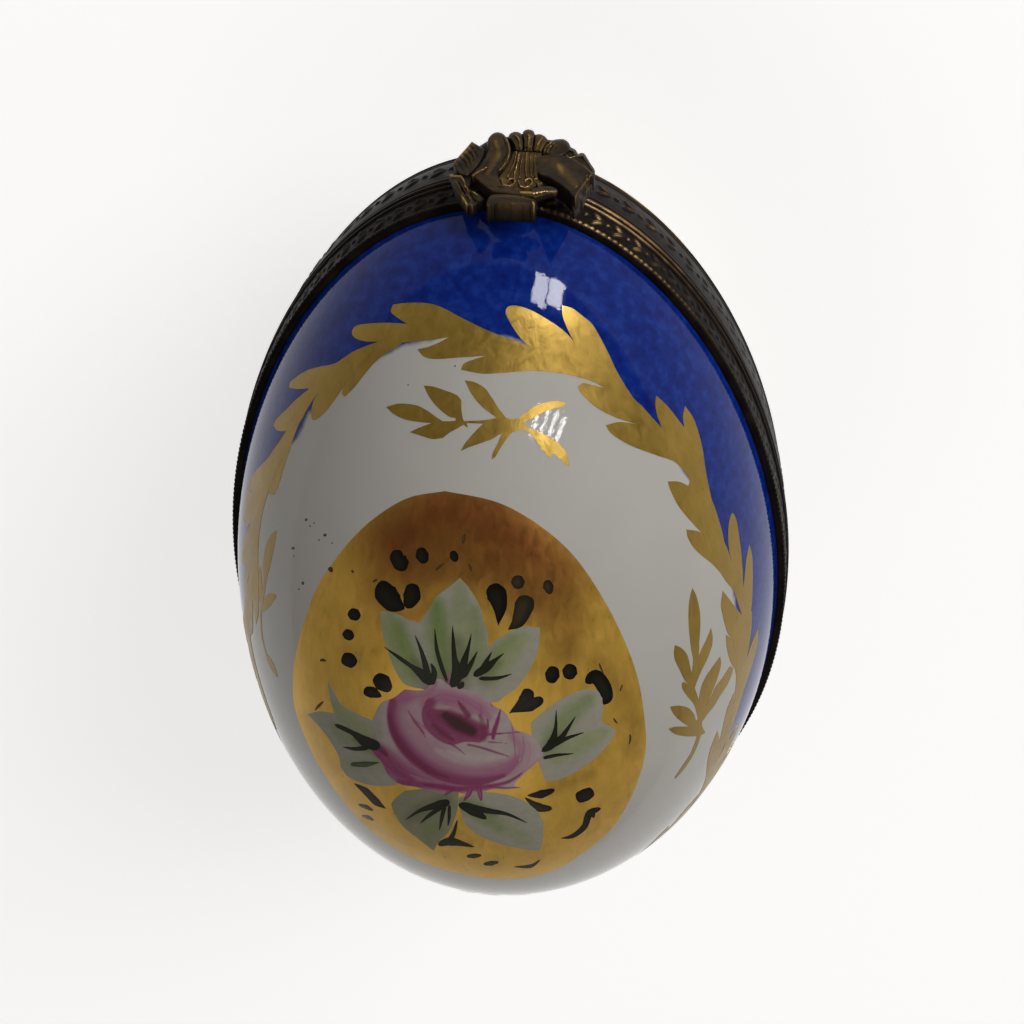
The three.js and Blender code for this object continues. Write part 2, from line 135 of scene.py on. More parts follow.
def even_angles(count, height, rise):
    """Plan angles that space points evenly along the egg's outline at a height, from the narrow end."""
    dense = np.linspace(-math.pi / 2, 1.5 * math.pi, OUTLINE_SAMPLES)
    loop = ring(dense, height, rise)
    length = np.concatenate([[0], np.cumsum(np.linalg.norm(np.diff(loop, axis=0), axis=1))])
    stations = np.arange(count) / count * length[-1]
    return np.interp(stations, length, dense), stations


# Meshes
def make_object(name, verts, faces, material, body, nodes=(), side=1, sharp=30):
    """A piece from points in egg heights: side -1 turns it over for the base."""
    co = np.array(verts, float)
    co[:, 2] = SEAM_HEIGHT + side * co[:, 2]
    mesh = bpy.data.meshes.new(name)
    mesh.from_pydata((co * MM).tolist(), [], [f if side > 0 else f[::-1] for f in faces])
    mesh.validate()
    mesh.polygons.foreach_set("use_smooth", [True] * len(mesh.polygons))
    mesh.set_sharp_from_angle(angle=math.radians(sharp))
    mesh.materials.append(material)
    made = bpy.data.objects.new(name, mesh)
    bpy.context.scene.collection.objects.link(made)
    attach(made, body)
    if nodes:
        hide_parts(*nodes)
    return made


def set_layer(made, name, values):
    layer = made.data.attributes.new(name, "FLOAT", "POINT")
    layer.data.foreach_set("value", np.asarray(values, np.float32))


def loft(rows, closed_section=False):
    """Quads over rows of points that run round the egg counter-clockwise, lowest row first."""
    count = len(rows[0])
    faces = []
    pairs = len(rows) if closed_section else len(rows) - 1
    for r in range(pairs):
        a, b = r * count, (r + 1) % len(rows) * count
        faces += [(a + i, a + (i + 1) % count, b + (i + 1) % count, b + i) for i in range(count)]
    return np.concatenate(rows), faces


FOOT_RINGS = (0.98, 0.93, 0.6, 0.25)  # shares of the foot's outline
FLOOR_RINGS = (0.85, 0.5, 0.2)
AROUND = 420  # points round a half


def shell(rise, foot=None, floor=None, levels=64):
    """A half shell of porcelain with a flat rim, and for the base a flat foot and floor."""
    angles = np.linspace(0, 2 * math.pi, AROUND, endpoint=False)

    def side_rows(inset, bottom, stop):
        crown = rise - inset
        top = crown * (1 - 1e-6) if stop is None else stop
        turns = np.linspace(math.asin(bottom / crown), math.asin(min(1, top / crown)), levels)
        return [ring(angles, crown * math.sin(t), rise, inset) for t in turns]

    outer = side_rows(GLAZE_INSET, RIM, foot)
    inner = side_rows(WALL, RIM, floor)
    if foot is not None:
        outer += [outer[-1] * (share, share, 1) for share in FOOT_RINGS]
    if floor is not None:
        inner += [inner[-1] * (share, share, 1) for share in FLOOR_RINGS]
    verts, faces = loft(inner[::-1] + outer)
    last = len(verts)
    faces.append(tuple(range(last - AROUND, last)))
    faces.append(tuple(range(AROUND))[::-1])
    return verts, faces, np.repeat([0.0, 1.0], [len(inner) * AROUND, len(outer) * AROUND])


# Drawing on the glaze
def view_axes():
    """Right, up and towards the eye, of the picture."""
    back = np.array([
        math.sin(VIEW_AZIMUTH) * math.cos(VIEW_ELEVATION),
        -math.cos(VIEW_AZIMUTH) * math.cos(VIEW_ELEVATION),
        math.sin(VIEW_ELEVATION),
    ])
    right = np.cross([0, -1, 0], back)
    right /= np.linalg.norm(right)
    up = np.cross(back, right)
    c, s = math.cos(VIEW_ROLL), math.sin(VIEW_ROLL)
    return c * right + s * up, c * up - s * right, back


RIGHT, UP, BACK = view_axes()
TARGET = np.array([0, MIDDLE_Y, 0.0])
EYE = TARGET + BACK * VIEW_DISTANCE

# The glaze is looked for along a ray from before the target to behind it, first in steps, then by halving
SEARCH_NEAR = VIEW_DISTANCE - 45.0
SEARCH_FAR = VIEW_DISTANCE + 30.0
SEARCH_STEPS = 150
SEARCH_BACK = 0.6
SEARCH_HALVINGS = 24


def sight(points):
    """Rays from the eye to points of the drawing."""
    p = np.array(points, float)
    aside = (p[..., :1] - DRAWING_CENTRE[0]) * RIGHT + (DRAWING_CENTRE[1] - p[..., 1:]) * UP
    return TARGET + aside / DRAWING_SCALE - EYE


def drawn(points):
    """Points of a drawing seen from the front, carried to the lid's glaze."""
    ray = sight(points)
    ray /= np.linalg.norm(ray, axis=-1, keepdims=True)
    flat = flatness(LID_RISE, GLAZE_INSET)

    def miss(t):
        q = EYE + ray * t[..., None]
        return q[..., 0] ** 2 + (q[..., 2] / flat) ** 2 - girth(q[..., 1], GLAZE_INSET)[0]

    best = np.full(ray.shape[:-1], SEARCH_NEAR)
    least = miss(best)
    found = least < 0
    for t in np.linspace(SEARCH_NEAR, SEARCH_FAR, SEARCH_STEPS):
        step = np.full_like(best, t)
        value = miss(step)
        better = ~found & (value < least)
        best = np.where(better, step, best)
        least = np.where(better, value, least)
        found |= value < 0
    low, high = best - SEARCH_BACK, best
    for _ in range(SEARCH_HALVINGS):
        middle = (low + high) / 2
        inside = miss(middle) < 0
        high = np.where(inside, middle, high)
        low = np.where(inside, low, middle)
    return settle(EYE + ray * high[..., None], LID_RISE)


WREATH_POINTS = 1440


class Wreath:
    """Flat coordinates along a level line of the egg: along it counter-clockwise from the narrow end, and
    across it towards the crown."""

    def __init__(self, height, rise):
        angles, stations = even_angles(WREATH_POINTS, height, rise)
        self.rise = rise
        self.loop, normals = settle(ring(angles, height, rise), rise)
        self.along = np.roll(self.loop, -1, 0) - np.roll(self.loop, 1, 0)
        self.along /= np.linalg.norm(self.along, axis=1, keepdims=True)
        self.across = np.cross(normals, self.along)
        self.length = stations[1] * len(angles)

    def __call__(self, points):
        p = np.array(points, float)
        place = (p[..., 0] / self.length % 1) * len(self.loop)
        index = place.astype(int) % len(self.loop)
        part = (place - place.astype(int))[..., None]
        spot = self.loop[index] * (1 - part) + self.loop[(index + 1) % len(self.loop)] * part
        return settle(spot + self.across[index] * p[..., 1:], self.rise)


SHEET_TOP = 0.02  # over the glaze
SHEET_BOTTOM = 0.05  # under it


class Sheets:
    """Thin closed patches on the glaze, gathered into one mesh."""

    def __init__(self, surface):
        self.surface = surface
        self.verts = []
        self.faces = []
        self.colours = []
        self.count = 0

    def add(self, grid, top=SHEET_TOP, wrap=False, colours=None, surface=None):
        """A patch over a grid of drawing points. With wrap, its rows are rings with a cap on the first."""
        spots, normals = (surface or self.surface)(grid)
        rows, columns = spots.shape[:2]
        ids = self.count + np.arange(rows * columns).reshape(rows, columns)
        under = ids + rows * columns
        step = spots[-1, 1] - spots[-1, 0]
        turn = np.cross(spots[-1, 0] - spots[-2, 0], step) @ normals[-1, 0] > 0
        faces = []
        wide = columns if wrap else columns - 1
        for r in range(rows - 1):
            for c in range(wide):
                d = (c + 1) % columns
                faces.append((ids[r, c], ids[r + 1, c], ids[r + 1, d], ids[r, d]))
                faces.append((under[r, c], under[r, d], under[r + 1, d], under[r + 1, c]))
        edges = [(ids[-1], under[-1])]
        if wrap:
            faces.append(tuple(ids[0]))
            faces.append(tuple(under[0][::-1]))
        else:
            edges.append((ids[0][::-1], under[0][::-1]))
            edges += [(ids[:, 0], under[:, 0]), (ids[::-1, -1], under[::-1, -1])]
        for high, low in edges:
            for c in range(len(high) if wrap else len(high) - 1):
                d = (c + 1) % len(high)
                faces.append((high[c], low[c], low[d], high[d]))
        self.faces += [tuple(int(i) for i in (f if turn else f[::-1])) for f in faces]
        self.keep(spots, normals, top, SHEET_BOTTOM, colours)

    def fill(self, loop, spacing, top=SHEET_TOP, bottom=SHEET_BOTTOM, paint=None, surface=None, under=None):
        """A patch inside a closed drawn outline: paint gives its points' colours, under that of its back."""
        low, high = loop.min(0), loop.max(0)
        rows = np.arange(low[1], high[1], spacing * math.sqrt(0.75))
        grid = np.stack(np.meshgrid(np.arange(low[0], high[0], spacing), rows), -1)
        grid[1::2, :, 0] += spacing / 2
        grid = grid.reshape(-1, 2)
        flat = np.concatenate([loop, grid[within(grid, loop, spacing / 2)]])
        edges = [(i, (i + 1) % len(loop)) for i in range(len(loop))]
        found = delaunay_2d_cdt([Vector(p) for p in flat.tolist()], edges, [], 1, 1e-5)
        flat = np.array([tuple(p) for p in found[0]])
        corners = np.array(found[2])
        spots, normals = (surface or self.surface)(flat)
        top = top(flat) if callable(top) else top
        a, b, c = (spots[corners[:, i]] for i in range(3))
        back = (np.cross(b - a, c - a) * normals[corners[:, 0]]).sum(1) < 0
        corners[back] = corners[back][:, ::-1]
        sides = {}
        for face in corners.tolist():
            for i, j in zip(face, face[1:] + face[:1]):
                if sides.pop((j, i), None) is None:
                    sides[i, j] = True
        top_ids, low_ids = self.count, self.count + len(flat)
        self.faces += [tuple(top_ids + i for i in face) for face in corners.tolist()]
        self.faces += [tuple(low_ids + i for i in face[::-1]) for face in corners.tolist()]
        self.faces += [(top_ids + j, top_ids + i, low_ids + i, low_ids + j) for i, j in sides]
        self.keep(spots, normals, top, bottom, paint(flat) if paint else None, under)

    def keep(self, spots, normals, top, bottom, colours, under=None):
        self.verts.append((spots + normals * np.asarray(top)[..., None]).reshape(-1, 3))
        self.verts.append((spots - normals * np.asarray(bottom)[..., None]).reshape(-1, 3))
        if colours is not None:
            flat = np.asarray(colours, float).reshape(-1, 3)
            self.colours += [flat, flat if under is None else np.full_like(flat, under)]
        self.count += 2 * spots[..., 0].size

    def build(self, name, material, body, nodes=(), side=1, layer="paint", sharp=30):
        verts = np.concatenate(self.verts)
        made = make_object(name, verts, self.faces, material, body, nodes, side, sharp)
        if self.colours:
            laid = made.data.attributes.new(layer, "FLOAT_COLOR", "POINT")
            full = np.concatenate(self.colours)
            opaque = np.column_stack([full, np.ones(len(full))])
            laid.data.foreach_set("color", opaque.astype(np.float32).ravel())
        return made


def edge_distance(points, loop):
    """Distances of points from a closed outline."""
    step = np.roll(loop, -1, 0) - loop
    away = points[:, None] - loop
    share = np.clip((away * step).sum(-1) / np.maximum((step**2).sum(-1), 1e-12), 0, 1)
    return np.linalg.norm(away - share[..., None] * step, axis=-1).min(1)


def within(points, loop, margin):
    """Which points lie inside a closed outline and no nearer to it than a margin."""
    ends = np.roll(loop, -1, 0)
    step = ends - loop
    x, y = points[:, :1], points[:, 1:]
    crosses = (loop[:, 1] > y) != (ends[:, 1] > y)
    level = np.where(step[:, 1] == 0, 1, step[:, 1])
    inside = (crosses & (x < loop[:, 0] + (y - loop[:, 1]) / level * step[:, 0])).sum(1) % 2 == 1
    return inside & (edge_distance(points, loop) > margin)


def smooth_path(points, count):
    """Points along a Catmull-Rom curve through the given ones."""
    p = np.array(points, float)
    p = np.concatenate([[2 * p[0] - p[1]], p, [2 * p[-1] - p[-2]]])
    place = np.linspace(0, len(p) - 3 - 1e-9, count)
    i = place.astype(int)
    t = (place - i)[:, None]
    a, b, c, d = p[i], p[i + 1], p[i + 2], p[i + 3]
    return 0.5 * (2 * b + (c - a) * t + (2 * a - 5 * b + 4 * c - d) * t**2 + (3 * b - a - 3 * c + d) * t**3)


def outline(runs, origin=(0, 0), scale=1.0, step=2.0):
    """A closed drawn outline of smooth runs that meet at corners, read in the units of an enlarged sheet.
    Each run starts where the one before it ends."""
    loop = []
    start = runs[-1][-1]
    for run in runs:
        points = np.array([start, *run], float)
        length = np.linalg.norm(np.diff(points, axis=0), axis=1).sum() / scale
        loop.append(smooth_path(points, max(3, int(length / step) + 2))[:-1])
        start = run[-1]
    return np.array(origin) + np.concatenate(loop) / scale


def ribbon(route, half_widths, across=5):
    """A grid along a drawn route with a half width at each point of it."""
    along = np.gradient(route, axis=0)
    along /= np.linalg.norm(along, axis=1, keepdims=True)
    side = np.stack([-along[:, 1], along[:, 0]], -1)
    spread = np.linspace(-1, 1, across)
    return route[:, None] + side[:, None] * np.asarray(half_widths)[:, None, None] * spread[None, :, None]


def even_widths(half_widths, count):
    """Half widths spread evenly over a count of points."""
    return np.interp(np.linspace(0, 1, count), np.linspace(0, 1, len(half_widths)), half_widths)


def leaf(root, tip, half_width, bend=0.05, blunt=0.2, stalk=0.35, count=22):
    """A painted leaf from root to tip, fullest halfway: bend bows its middle to the left, blunt rounds its
    tip, and stalk is its width at the root."""
    u = 1 - (1 - np.linspace(0, 1, count)) ** 1.5
    line = tip - root
    left = np.array([-line[1], line[0]])
    route = root + u[:, None] * line + (4 * u * (1 - u) * bend)[:, None] * left
    near = np.clip(2 * u, 0, 1)
    far = np.clip(2 * u - 1, 0, 1)
    pointed = (1 - far) * (1 + 0.9 * far)
    rounded = np.sqrt(np.clip(1 - far**2.6, 0, 1))
    shape = (stalk + (1 - stalk) * np.sin(near * math.pi / 2)) * (blunt * rounded + (1 - blunt) * pointed)
    return ribbon(route, half_width * np.maximum(shape, 0.012), across=7)


def speck_rings(edge, centre, count):
    """A small ring near the centre and one along a closed drawn edge."""
    loop = smooth_path(list(edge) + [edge[0]], count + 1)[:-1]
    shares = np.array([0.03, 1.0])
    return np.array(centre) + shares[:, None, None] * (loop - np.array(centre))[None]


# Materials. Noise scales are to a metre.
NOISE_SPAN = (0.3, 0.7)  # where most of a noise lies


def node(tree, kind, links=None, **settings):
    made = tree.nodes.new("ShaderNode" + kind)
    for key, value in settings.items():
        setattr(made, key, value)
    for socket, source in (links or {}).items():
        if isinstance(source, bpy.types.NodeSocket):
            tree.links.new(source, made.inputs[socket])
        else:
            made.inputs[socket].default_value = source
    return made


def new_material(name, **plain):
    made = bpy.data.materials.new(name)
    made.use_nodes = True
    tree = made.node_tree
    shader = tree.nodes["Principled BSDF"]
    for socket, value in plain.items():
        shader.inputs[socket.replace("_", " ")].default_value = value
    return made, tree, shader


def object_place(tree, scale=(1, 1, 1)):
    place = node(tree, "TexCoord").outputs["Object"]
    return node(tree, "Mapping", {"Vector": place, "Scale": scale}).outputs["Vector"]


def maths(tree, operation, a, b):
    return node(tree, "Math", {0: a, 1: b}, operation=operation).outputs["Value"]


def noise(tree, place, scale, detail=4.0, roughness=0.55, distortion=0.0):
    links = {"Vector": place, "Scale": scale, "Detail": detail, "Roughness": roughness}
    links["Distortion"] = distortion
    return node(tree, "TexNoise", links).outputs["Fac"]


def ramp(tree, value, stops):
    """Colours or grey levels over a value, as (position, colour) pairs."""
    made = node(tree, "ValToRGB", {"Fac": value})
    ends = made.color_ramp.elements
    for i, (position, colour) in enumerate(stops):
        stop = ends[i] if i < 2 else ends.new(position)
        stop.position = position
        stop.color = (*colour, 1) if isinstance(colour, tuple) else (colour, colour, colour, 1)
    return made.outputs["Color"]


def span(tree, value, low, high, to_low=0.0, to_high=1.0):
    links = {"Value": value, "From Min": low, "From Max": high, "To Min": to_low, "To Max": to_high}
    return node(tree, "MapRange", links).outputs["Result"]


def mix(tree, share, a, b, blend="MIX"):
    return node(tree, "Mix", {0: share, 6: a, 7: b}, data_type="RGBA", blend_type=blend).outputs[2]


def set_roughness(tree, shader, value, least, most):
    tree.links.new(span(tree, value, *NOISE_SPAN, least, most), shader.inputs["Roughness"])


def add_bump(tree, shader, height, strength, distance):
    bump = node(tree, "Bump", {"Height": height, "Strength": strength, "Distance": distance})
    tree.links.new(bump.outputs["Normal"], shader.inputs["Normal"])


FINE_BUMP = 0.1 * MM
STROKE_BUMP = 0.06 * MM
CAST_BUMP = 0.08 * MM
GLAZE_IOR = 1.19
GILDING_IOR = 1.2
ENAMEL_IOR = 1.25
GLAZE_ROUGHNESS = (0.02, 0.05)
GILDING_ROUGHNESS = (0.27, 0.42)
ENAMEL_ROUGHNESS = (0.13, 0.24)
BRONZE_ROUGHNESS = (0.32, 0.48)
PLASTER_ROUGHNESS = (0.8, 0.95)
WHITE = ((0.485, 0.472, 0.45), (0.53, 0.515, 0.495))
COBALT = ((0.0022, 0.012, 0.155), (0.0035, 0.021, 0.215), (0.0095, 0.038, 0.28))
EDGE_DRIFT = 0.35 * MM  # wandering of the cobalt's edge
EDGE_FADE = (0.12, 0.2)  # its softness towards the rim and towards the crown


def porcelain_material(name, side, band):
    """White glaze, with a mottled cobalt ground on the outside from the rim up to the height band."""
    made, tree, shader = new_material(name, IOR=GLAZE_IOR)
    place = object_place(tree)
    height = node(tree, "SeparateXYZ", {"Vector": place}).outputs["Z"]
    edge = SEAM_HEIGHT + side * band
    drift = span(tree, noise(tree, place, 260.0, detail=3.0), *NOISE_SPAN, -EDGE_DRIFT, EDGE_DRIFT)
    shifted = maths(tree, "ADD", height, drift)
    inner, outer = (edge - side * EDGE_FADE[0]) * MM, (edge + side * EDGE_FADE[1]) * MM
    below = span(tree, shifted, inner, outer, 1.0, 0.0)
    outside = node(tree, "Attribute", attribute_name="outside").outputs["Fac"]
    ground = maths(tree, "MULTIPLY", below, outside)
    cloud = noise(tree, place, 1200.0, roughness=0.52, distortion=0.2)
    cobalt = ramp(tree, cloud, zip((0.3, 0.5, 0.7), COBALT))
    white = ramp(tree, noise(tree, place, 60.0, detail=3.0), zip((0.35, 0.65), WHITE))
    tree.links.new(mix(tree, ground, white, cobalt), shader.inputs["Base Color"])
    set_roughness(tree, shader, noise(tree, place, 420.0), *GLAZE_ROUGHNESS)
    add_bump(tree, shader, noise(tree, place, 1700.0, detail=3.0), 0.07, FINE_BUMP)
    return made


def gold_material(name, dark, light, metallic, crinkle, laid=False):
    """Brushed gilding. With laid, its colours come with the strokes."""
    made, tree, shader = new_material(name, Metallic=metallic, IOR=GILDING_IOR)
    place = object_place(tree)
    along = object_place(tree, (1.0, 0.35, 1.0))
    strokes = noise(tree, along, 1500.0, roughness=0.6, distortion=0.6)
    cloud = noise(tree, place, 240.0)
    middle = maths(tree, "MULTIPLY", maths(tree, "ADD", strokes, cloud), 0.5)
    colour = ramp(tree, middle, [(0.3, dark), (0.64, light)])
    if laid:
        tint = node(tree, "Attribute", attribute_name="paint").outputs["Color"]
        colour = mix(tree, 1.0, tint, colour, "MULTIPLY")
    tree.links.new(colour, shader.inputs["Base Color"])
    set_roughness(tree, shader, strokes, *GILDING_ROUGHNESS)
    add_bump(tree, shader, strokes, crinkle, STROKE_BUMP)
    return made


def paint_material(name):
    """Fired enamel whose colours are laid on with the strokes."""
    made, tree, shader = new_material(name, IOR=ENAMEL_IOR)
    place = object_place(tree)
    laid = node(tree, "Attribute", attribute_name="paint").outputs["Color"]
    grain = ramp(tree, noise(tree, place, 1400.0, roughness=0.6), zip(NOISE_SPAN, (0.88, 1.0)))
    tree.links.new(mix(tree, 1.0, laid, grain, "MULTIPLY"), shader.inputs["Base Color"])
    set_roughness(tree, shader, noise(tree, place, 700.0), *ENAMEL_ROUGHNESS)
    add_bump(tree, shader, noise(tree, place, 900.0, detail=3.0), 0.12, FINE_BUMP)
    return made


def bronze_material(name, patina, warm, brass, metallic):
    """Brass under a dark patina, scuffed brown and then through on raised work, with fine scratches; high
    attribute values also paint highlights and sheen, values below zero paint shade.
    """
    made, tree, shader = new_material(name, Specular_IOR_Level=0.04)
    shader.inputs["Specular Tint"].default_value = (0.3, 0.27, 0.24, 1)
    place = object_place(tree)
    worn_and_shading = node(tree, "Attribute", attribute_name="wear_and_shading").outputs["Fac"]
    cloud = noise(tree, place, 520.0, detail=5.0, roughness=0.65)
    fine = noise(tree, place, 2600.0, roughness=0.6)
    lines = noise(tree, object_place(tree, (0.12, 0.12, 1.0)), 2600.0, detail=3.0, roughness=0.6)
    soft = span(tree, cloud, 0.35, 0.7, -0.14, 0.14)
    share = span(tree, maths(tree, "ADD", worn_and_shading, soft), -0.5, 1.1)
    # Painted shade: near black where the attribute falls below zero
    painted_shade_colour = tuple(0.25 * c for c in patina)
    colour = ramp(tree, share, [(0.1, painted_shade_colour), (0.33, patina), (0.56, warm), (0.88, brass)])
    streak = ramp(tree, lines, zip(NOISE_SPAN, (0.75, 1.0)))
    tree.links.new(mix(tree, 1.0, colour, streak, "MULTIPLY"), shader.inputs["Base Color"])
    tree.links.new(span(tree, share, 0.35, 0.8, metallic, 0.9), shader.inputs["Metallic"])
    set_roughness(tree, shader, cloud, *BRONZE_ROUGHNESS)
    add_bump(tree, shader, maths(tree, "ADD", fine, lines), 0.3, CAST_BUMP)
    return made


def plaster_material(name, dark, light):
    """Dull set plaster."""
    made, tree, shader = new_material(name)
    place = object_place(tree)
    grain = noise(tree, place, 900.0, detail=5.0, roughness=0.65)
    tree.links.new(ramp(tree, grain, zip(NOISE_SPAN, (dark, light))), shader.inputs["Base Color"])
    set_roughness(tree, shader, grain, *PLASTER_ROUGHNESS)
    add_bump(tree, shader, grain, 0.4, FINE_BUMP)
    return made


BAND = 11.0  # height of the cobalt ground's edge over the seam
GOLD = gold_material(
    "gilding", dark=(0.225, 0.14, 0.025), light=(0.33, 0.212, 0.041), metallic=0.42, crinkle=0.4
)
MEDALLION_GOLD = gold_material(
    "medallion_gold", dark=(0.72, 0.72, 0.68), light=(1.0, 1.0, 1.0), metallic=0.62, crinkle=0.2, laid=True
)
PAINT = paint_material("enamel")
LID_GLAZE = porcelain_material("lid_glaze", 1, BAND)
BASE_GLAZE = porcelain_material("base_glaze", -1, BAND)
PLASTER = plaster_material("plaster", dark=(0.50, 0.47, 0.41), light=(0.62, 0.59, 0.52))
BEZEL_BRONZE = bronze_material(
    "bezel_bronze", patina=(0.012, 0.0088, 0.0072), warm=(0.040, 0.027, 0.0185), brass=(0.40, 0.255, 0.11),
    metallic=0.06,
)
CLASP_BRONZE = bronze_material(
    "clasp_bronze", patina=(0.034, 0.026, 0.018), warm=(0.105, 0.068, 0.031), brass=(0.46, 0.31, 0.13),
    metallic=0.25,
)

# Porcelain shells
for half, side, glaze, formed in (
    ("lid", 1, LID_GLAZE, shell(LID_RISE)),
    ("base", -1, BASE_GLAZE, shell(BASE_DROP, foot=SEAM_HEIGHT, floor=SEAM_HEIGHT - FLOOR)),
):
    verts, faces, outside = formed
    replaced = [f"{half}_shell"]
    porcelain = make_object(f"{half}_porcelain", verts, faces, glaze, half, replaced, side)
    set_layer(porcelain, "outside", outside)

CEMENT_INSET = (0.12, 0.1)  # at the flange and at the rim


def cement_bed(rise):
    angles, _ = even_angles(AROUND, RIM, rise)
    rows = []
    corners = [(-CEMENT_INSET[0], FLANGE_FACE), (-CEMENT_INSET[1], RIM), (-WALL, RIM), (-WALL, FLANGE_FACE)]
    for offset, height in corners:
        loop = ring(angles, height, rise)
        rows.append(loop + flat_normals(loop) * offset)
    return loft(rows, closed_section=True)


for half, rise, side in (("lid", LID_RISE, 1), ("base", BASE_DROP, -1)):
    verts, faces = cement_bed(rise)
    make_object(f"{half}_cement", verts, faces, PLASTER, half, [f"{half}_rim_cement"], side)

# Embossed bezels. Ridges have a height over the seam's edge, a half width and a share of the full relief.
LID_EDGE = (0.2, 0.2, 0.8)
LID_PEARL_LINE = (2.3, 0.2, 0.3)
BASE_RIDGES = ((0.22, 0.22, 0.8), (0.8, 0.14, 0.35), (5.45, 0.24, 0.8), (4.8, 0.14, 0.4))
PEARL_PITCH = 0.46
PEARL_RADIUS = 0.21
PEARL_SHARE = 0.5
# Garlands: height of the middle, pitch, size, and relief far from the clasp and its gain there
LID_GARLAND = (1.2, 1.7, 0.72, 0.35, 0.65)
BASE_GARLAND = (2.7, 2.1, 0.9, 0.3, 0.6)
CLASP_REACH = 15.0
# A garland's leaf and berry: their places along the pitch, the rest by its size
GARLAND_LEAN = 0.62  # radians
GARLAND_LEAF_PLACE = 0.45
GARLAND_LEAF_ASIDE = 0.42
GARLAND_LEAF_HALF_LENGTH = 0.72
GARLAND_LEAF_HALF_WIDTH = 0.3
GARLAND_VEIN = 0.06
BERRY_PLACE = 0.95
BERRY_RADIUS = 0.26
BAND_SHARP = 45  # degrees at which an edge stays sharp
RELIEF_GROUND = 0.46  # proud of the glaze
RELIEF_LIFT = 0.2
# Wear on the raised work everywhere, and a painted highlight that brightens it beside the clasp on the lit
# side, with its place along the band and its reach
SHEEN_PLACE = -9.0
SHEEN_REACH = 9.0
RELIEF_WEAR = 0.16
PAINTED_SHEEN = 0.8


def ridge(height, middle, half_width, share):
    return share * np.sqrt(np.clip(1 - ((height - middle) / half_width) ** 2, 0, None))


def near_clasp(along, perimeter):
    """1 at the narrow end, fading along the band on both sides."""
    away = np.minimum(along, perimeter - along)
    return np.exp(-((away / CLASP_REACH) ** 2))


def garland(along, height, perimeter, middle, pitch, size, least, gain):
    """Relief of a running garland: leaf pairs that lean along it, with a berry between."""
    cell = (along / pitch) % 1 * pitch
    relief = np.zeros_like(cell)
    for shift in (-pitch, 0, pitch):
        for rise in (1, -1):
            lean = rise * GARLAND_LEAN
            x = cell - pitch * GARLAND_LEAF_PLACE - shift
            y = height - middle - rise * size * GARLAND_LEAF_ASIDE
            u = x * math.cos(lean) + y * math.sin(lean)
            v = -x * math.sin(lean) + y * math.cos(lean)
            long, wide = size * GARLAND_LEAF_HALF_LENGTH, size * GARLAND_LEAF_HALF_WIDTH
            dome = np.clip(1 - (u / long) ** 2 - (v / wide) ** 2, 0, None)
            vein = 1 - 0.35 * np.exp(-((v / (size * GARLAND_VEIN)) ** 2))
            relief = np.maximum(relief, np.sqrt(dome) * vein)
        apart = (cell - pitch * BERRY_PLACE - shift) ** 2 + (height - middle) ** 2
        berry = np.clip(1 - apart / (size * BERRY_RADIUS) ** 2, 0, None)
        relief = np.maximum(relief, 0.9 * np.sqrt(berry))
    return relief * (least + gain * near_clasp(along, perimeter))


def pearl_row(along, height, middle):
    cell = ((along / PEARL_PITCH + 0.5) % 1 - 0.5) * PEARL_PITCH
    return PEARL_SHARE * np.sqrt(np.clip(1 - (cell**2 + (height - middle) ** 2) / PEARL_RADIUS**2, 0, None))


def lid_relief(along, height, perimeter):
    pearls = pearl_row(along, height, LID_PEARL_LINE[0]) + ridge(height, *LID_PEARL_LINE)
    return np.max([ridge(height, *LID_EDGE), pearls, garland(along, height, perimeter, *LID_GARLAND)], axis=0)


def base_relief(along, height, perimeter):
    ridges = [ridge(height, *line) for line in BASE_RIDGES]
    return np.max([*ridges, garland(along, height, perimeter, *BASE_GARLAND)], axis=0)


def bezel(rise, height, relief, steps, count=1280):
    """A bezel's band and inner flange as rows round the egg, and at each point its scuffing, with a painted
    sheen on the lit side beside the clasp.
    """
    angles, along = even_angles(count, height / 2, rise)
    perimeter = along[1] * count
    levels = HALF_SEAM_GAP + np.linspace(0, height, steps)
    rows, wear_and_shading = [], []
    away = (along + perimeter / 2) % perimeter - perimeter / 2 - SHEEN_PLACE
    sheen_side = np.exp(-((away / SHEEN_REACH) ** 2))

    def row(offset, level, wear_and_sheen):
        loop = ring(angles, level, rise)
        rows.append(loop + flat_normals(loop) * np.asarray(offset).reshape(-1, 1))
        wear_and_shading.append(np.broadcast_to(wear_and_sheen, count))

    # Offset, height, and wear with the painted sheen, from the flange's inner edge out over the relief and
    # back behind the band
    row(-WALL + GLAZE_INSET, HALF_SEAM_GAP, 0.2)
    row(0.3, HALF_SEAM_GAP, 0.4)
    for level in levels:
        raised = relief(along, np.full(count, level - HALF_SEAM_GAP), perimeter)
        row(RELIEF_GROUND + RELIEF_LIFT * raised, level, raised * (RELIEF_WEAR + PAINTED_SHEEN * sheen_side))
    row(0.2, HALF_SEAM_GAP + height + 0.04, 0.1)
    row(-0.02, HALF_SEAM_GAP + height, 0.0)
    row(-0.04, FLANGE_FACE, 0.0)
    row(-WALL + GLAZE_INSET, FLANGE_FACE, 0.0)
    verts, faces = loft(rows, closed_section=True)
    return verts, faces, np.concatenate(wear_and_shading)


for half, rise, side, height, relief, steps in (
    ("lid", LID_RISE, 1, LID_BEZEL_HEIGHT, lid_relief, 26),
    ("base", BASE_DROP, -1, BASE_BEZEL_HEIGHT, base_relief, 54),
):
    verts, faces, wear_and_shading = bezel(rise, height, relief, steps)
    replaced = [f"{half}_bezel"]
    band = make_object(
        f"{half}_band", verts, faces, BEZEL_BRONZE, half, replaced, side, BAND_SHARP
    )
    set_layer(band, "wear_and_shading", wear_and_shading)

# Gilding on the lid: the laurel wreath over the edge of the cobalt ground
lid_wreath = Wreath(BAND, LID_RISE)
base_wreath = Wreath(BAND, BASE_DROP)
lid_gold = Sheets(drawn)
base_gold = Sheets(base_wreath)

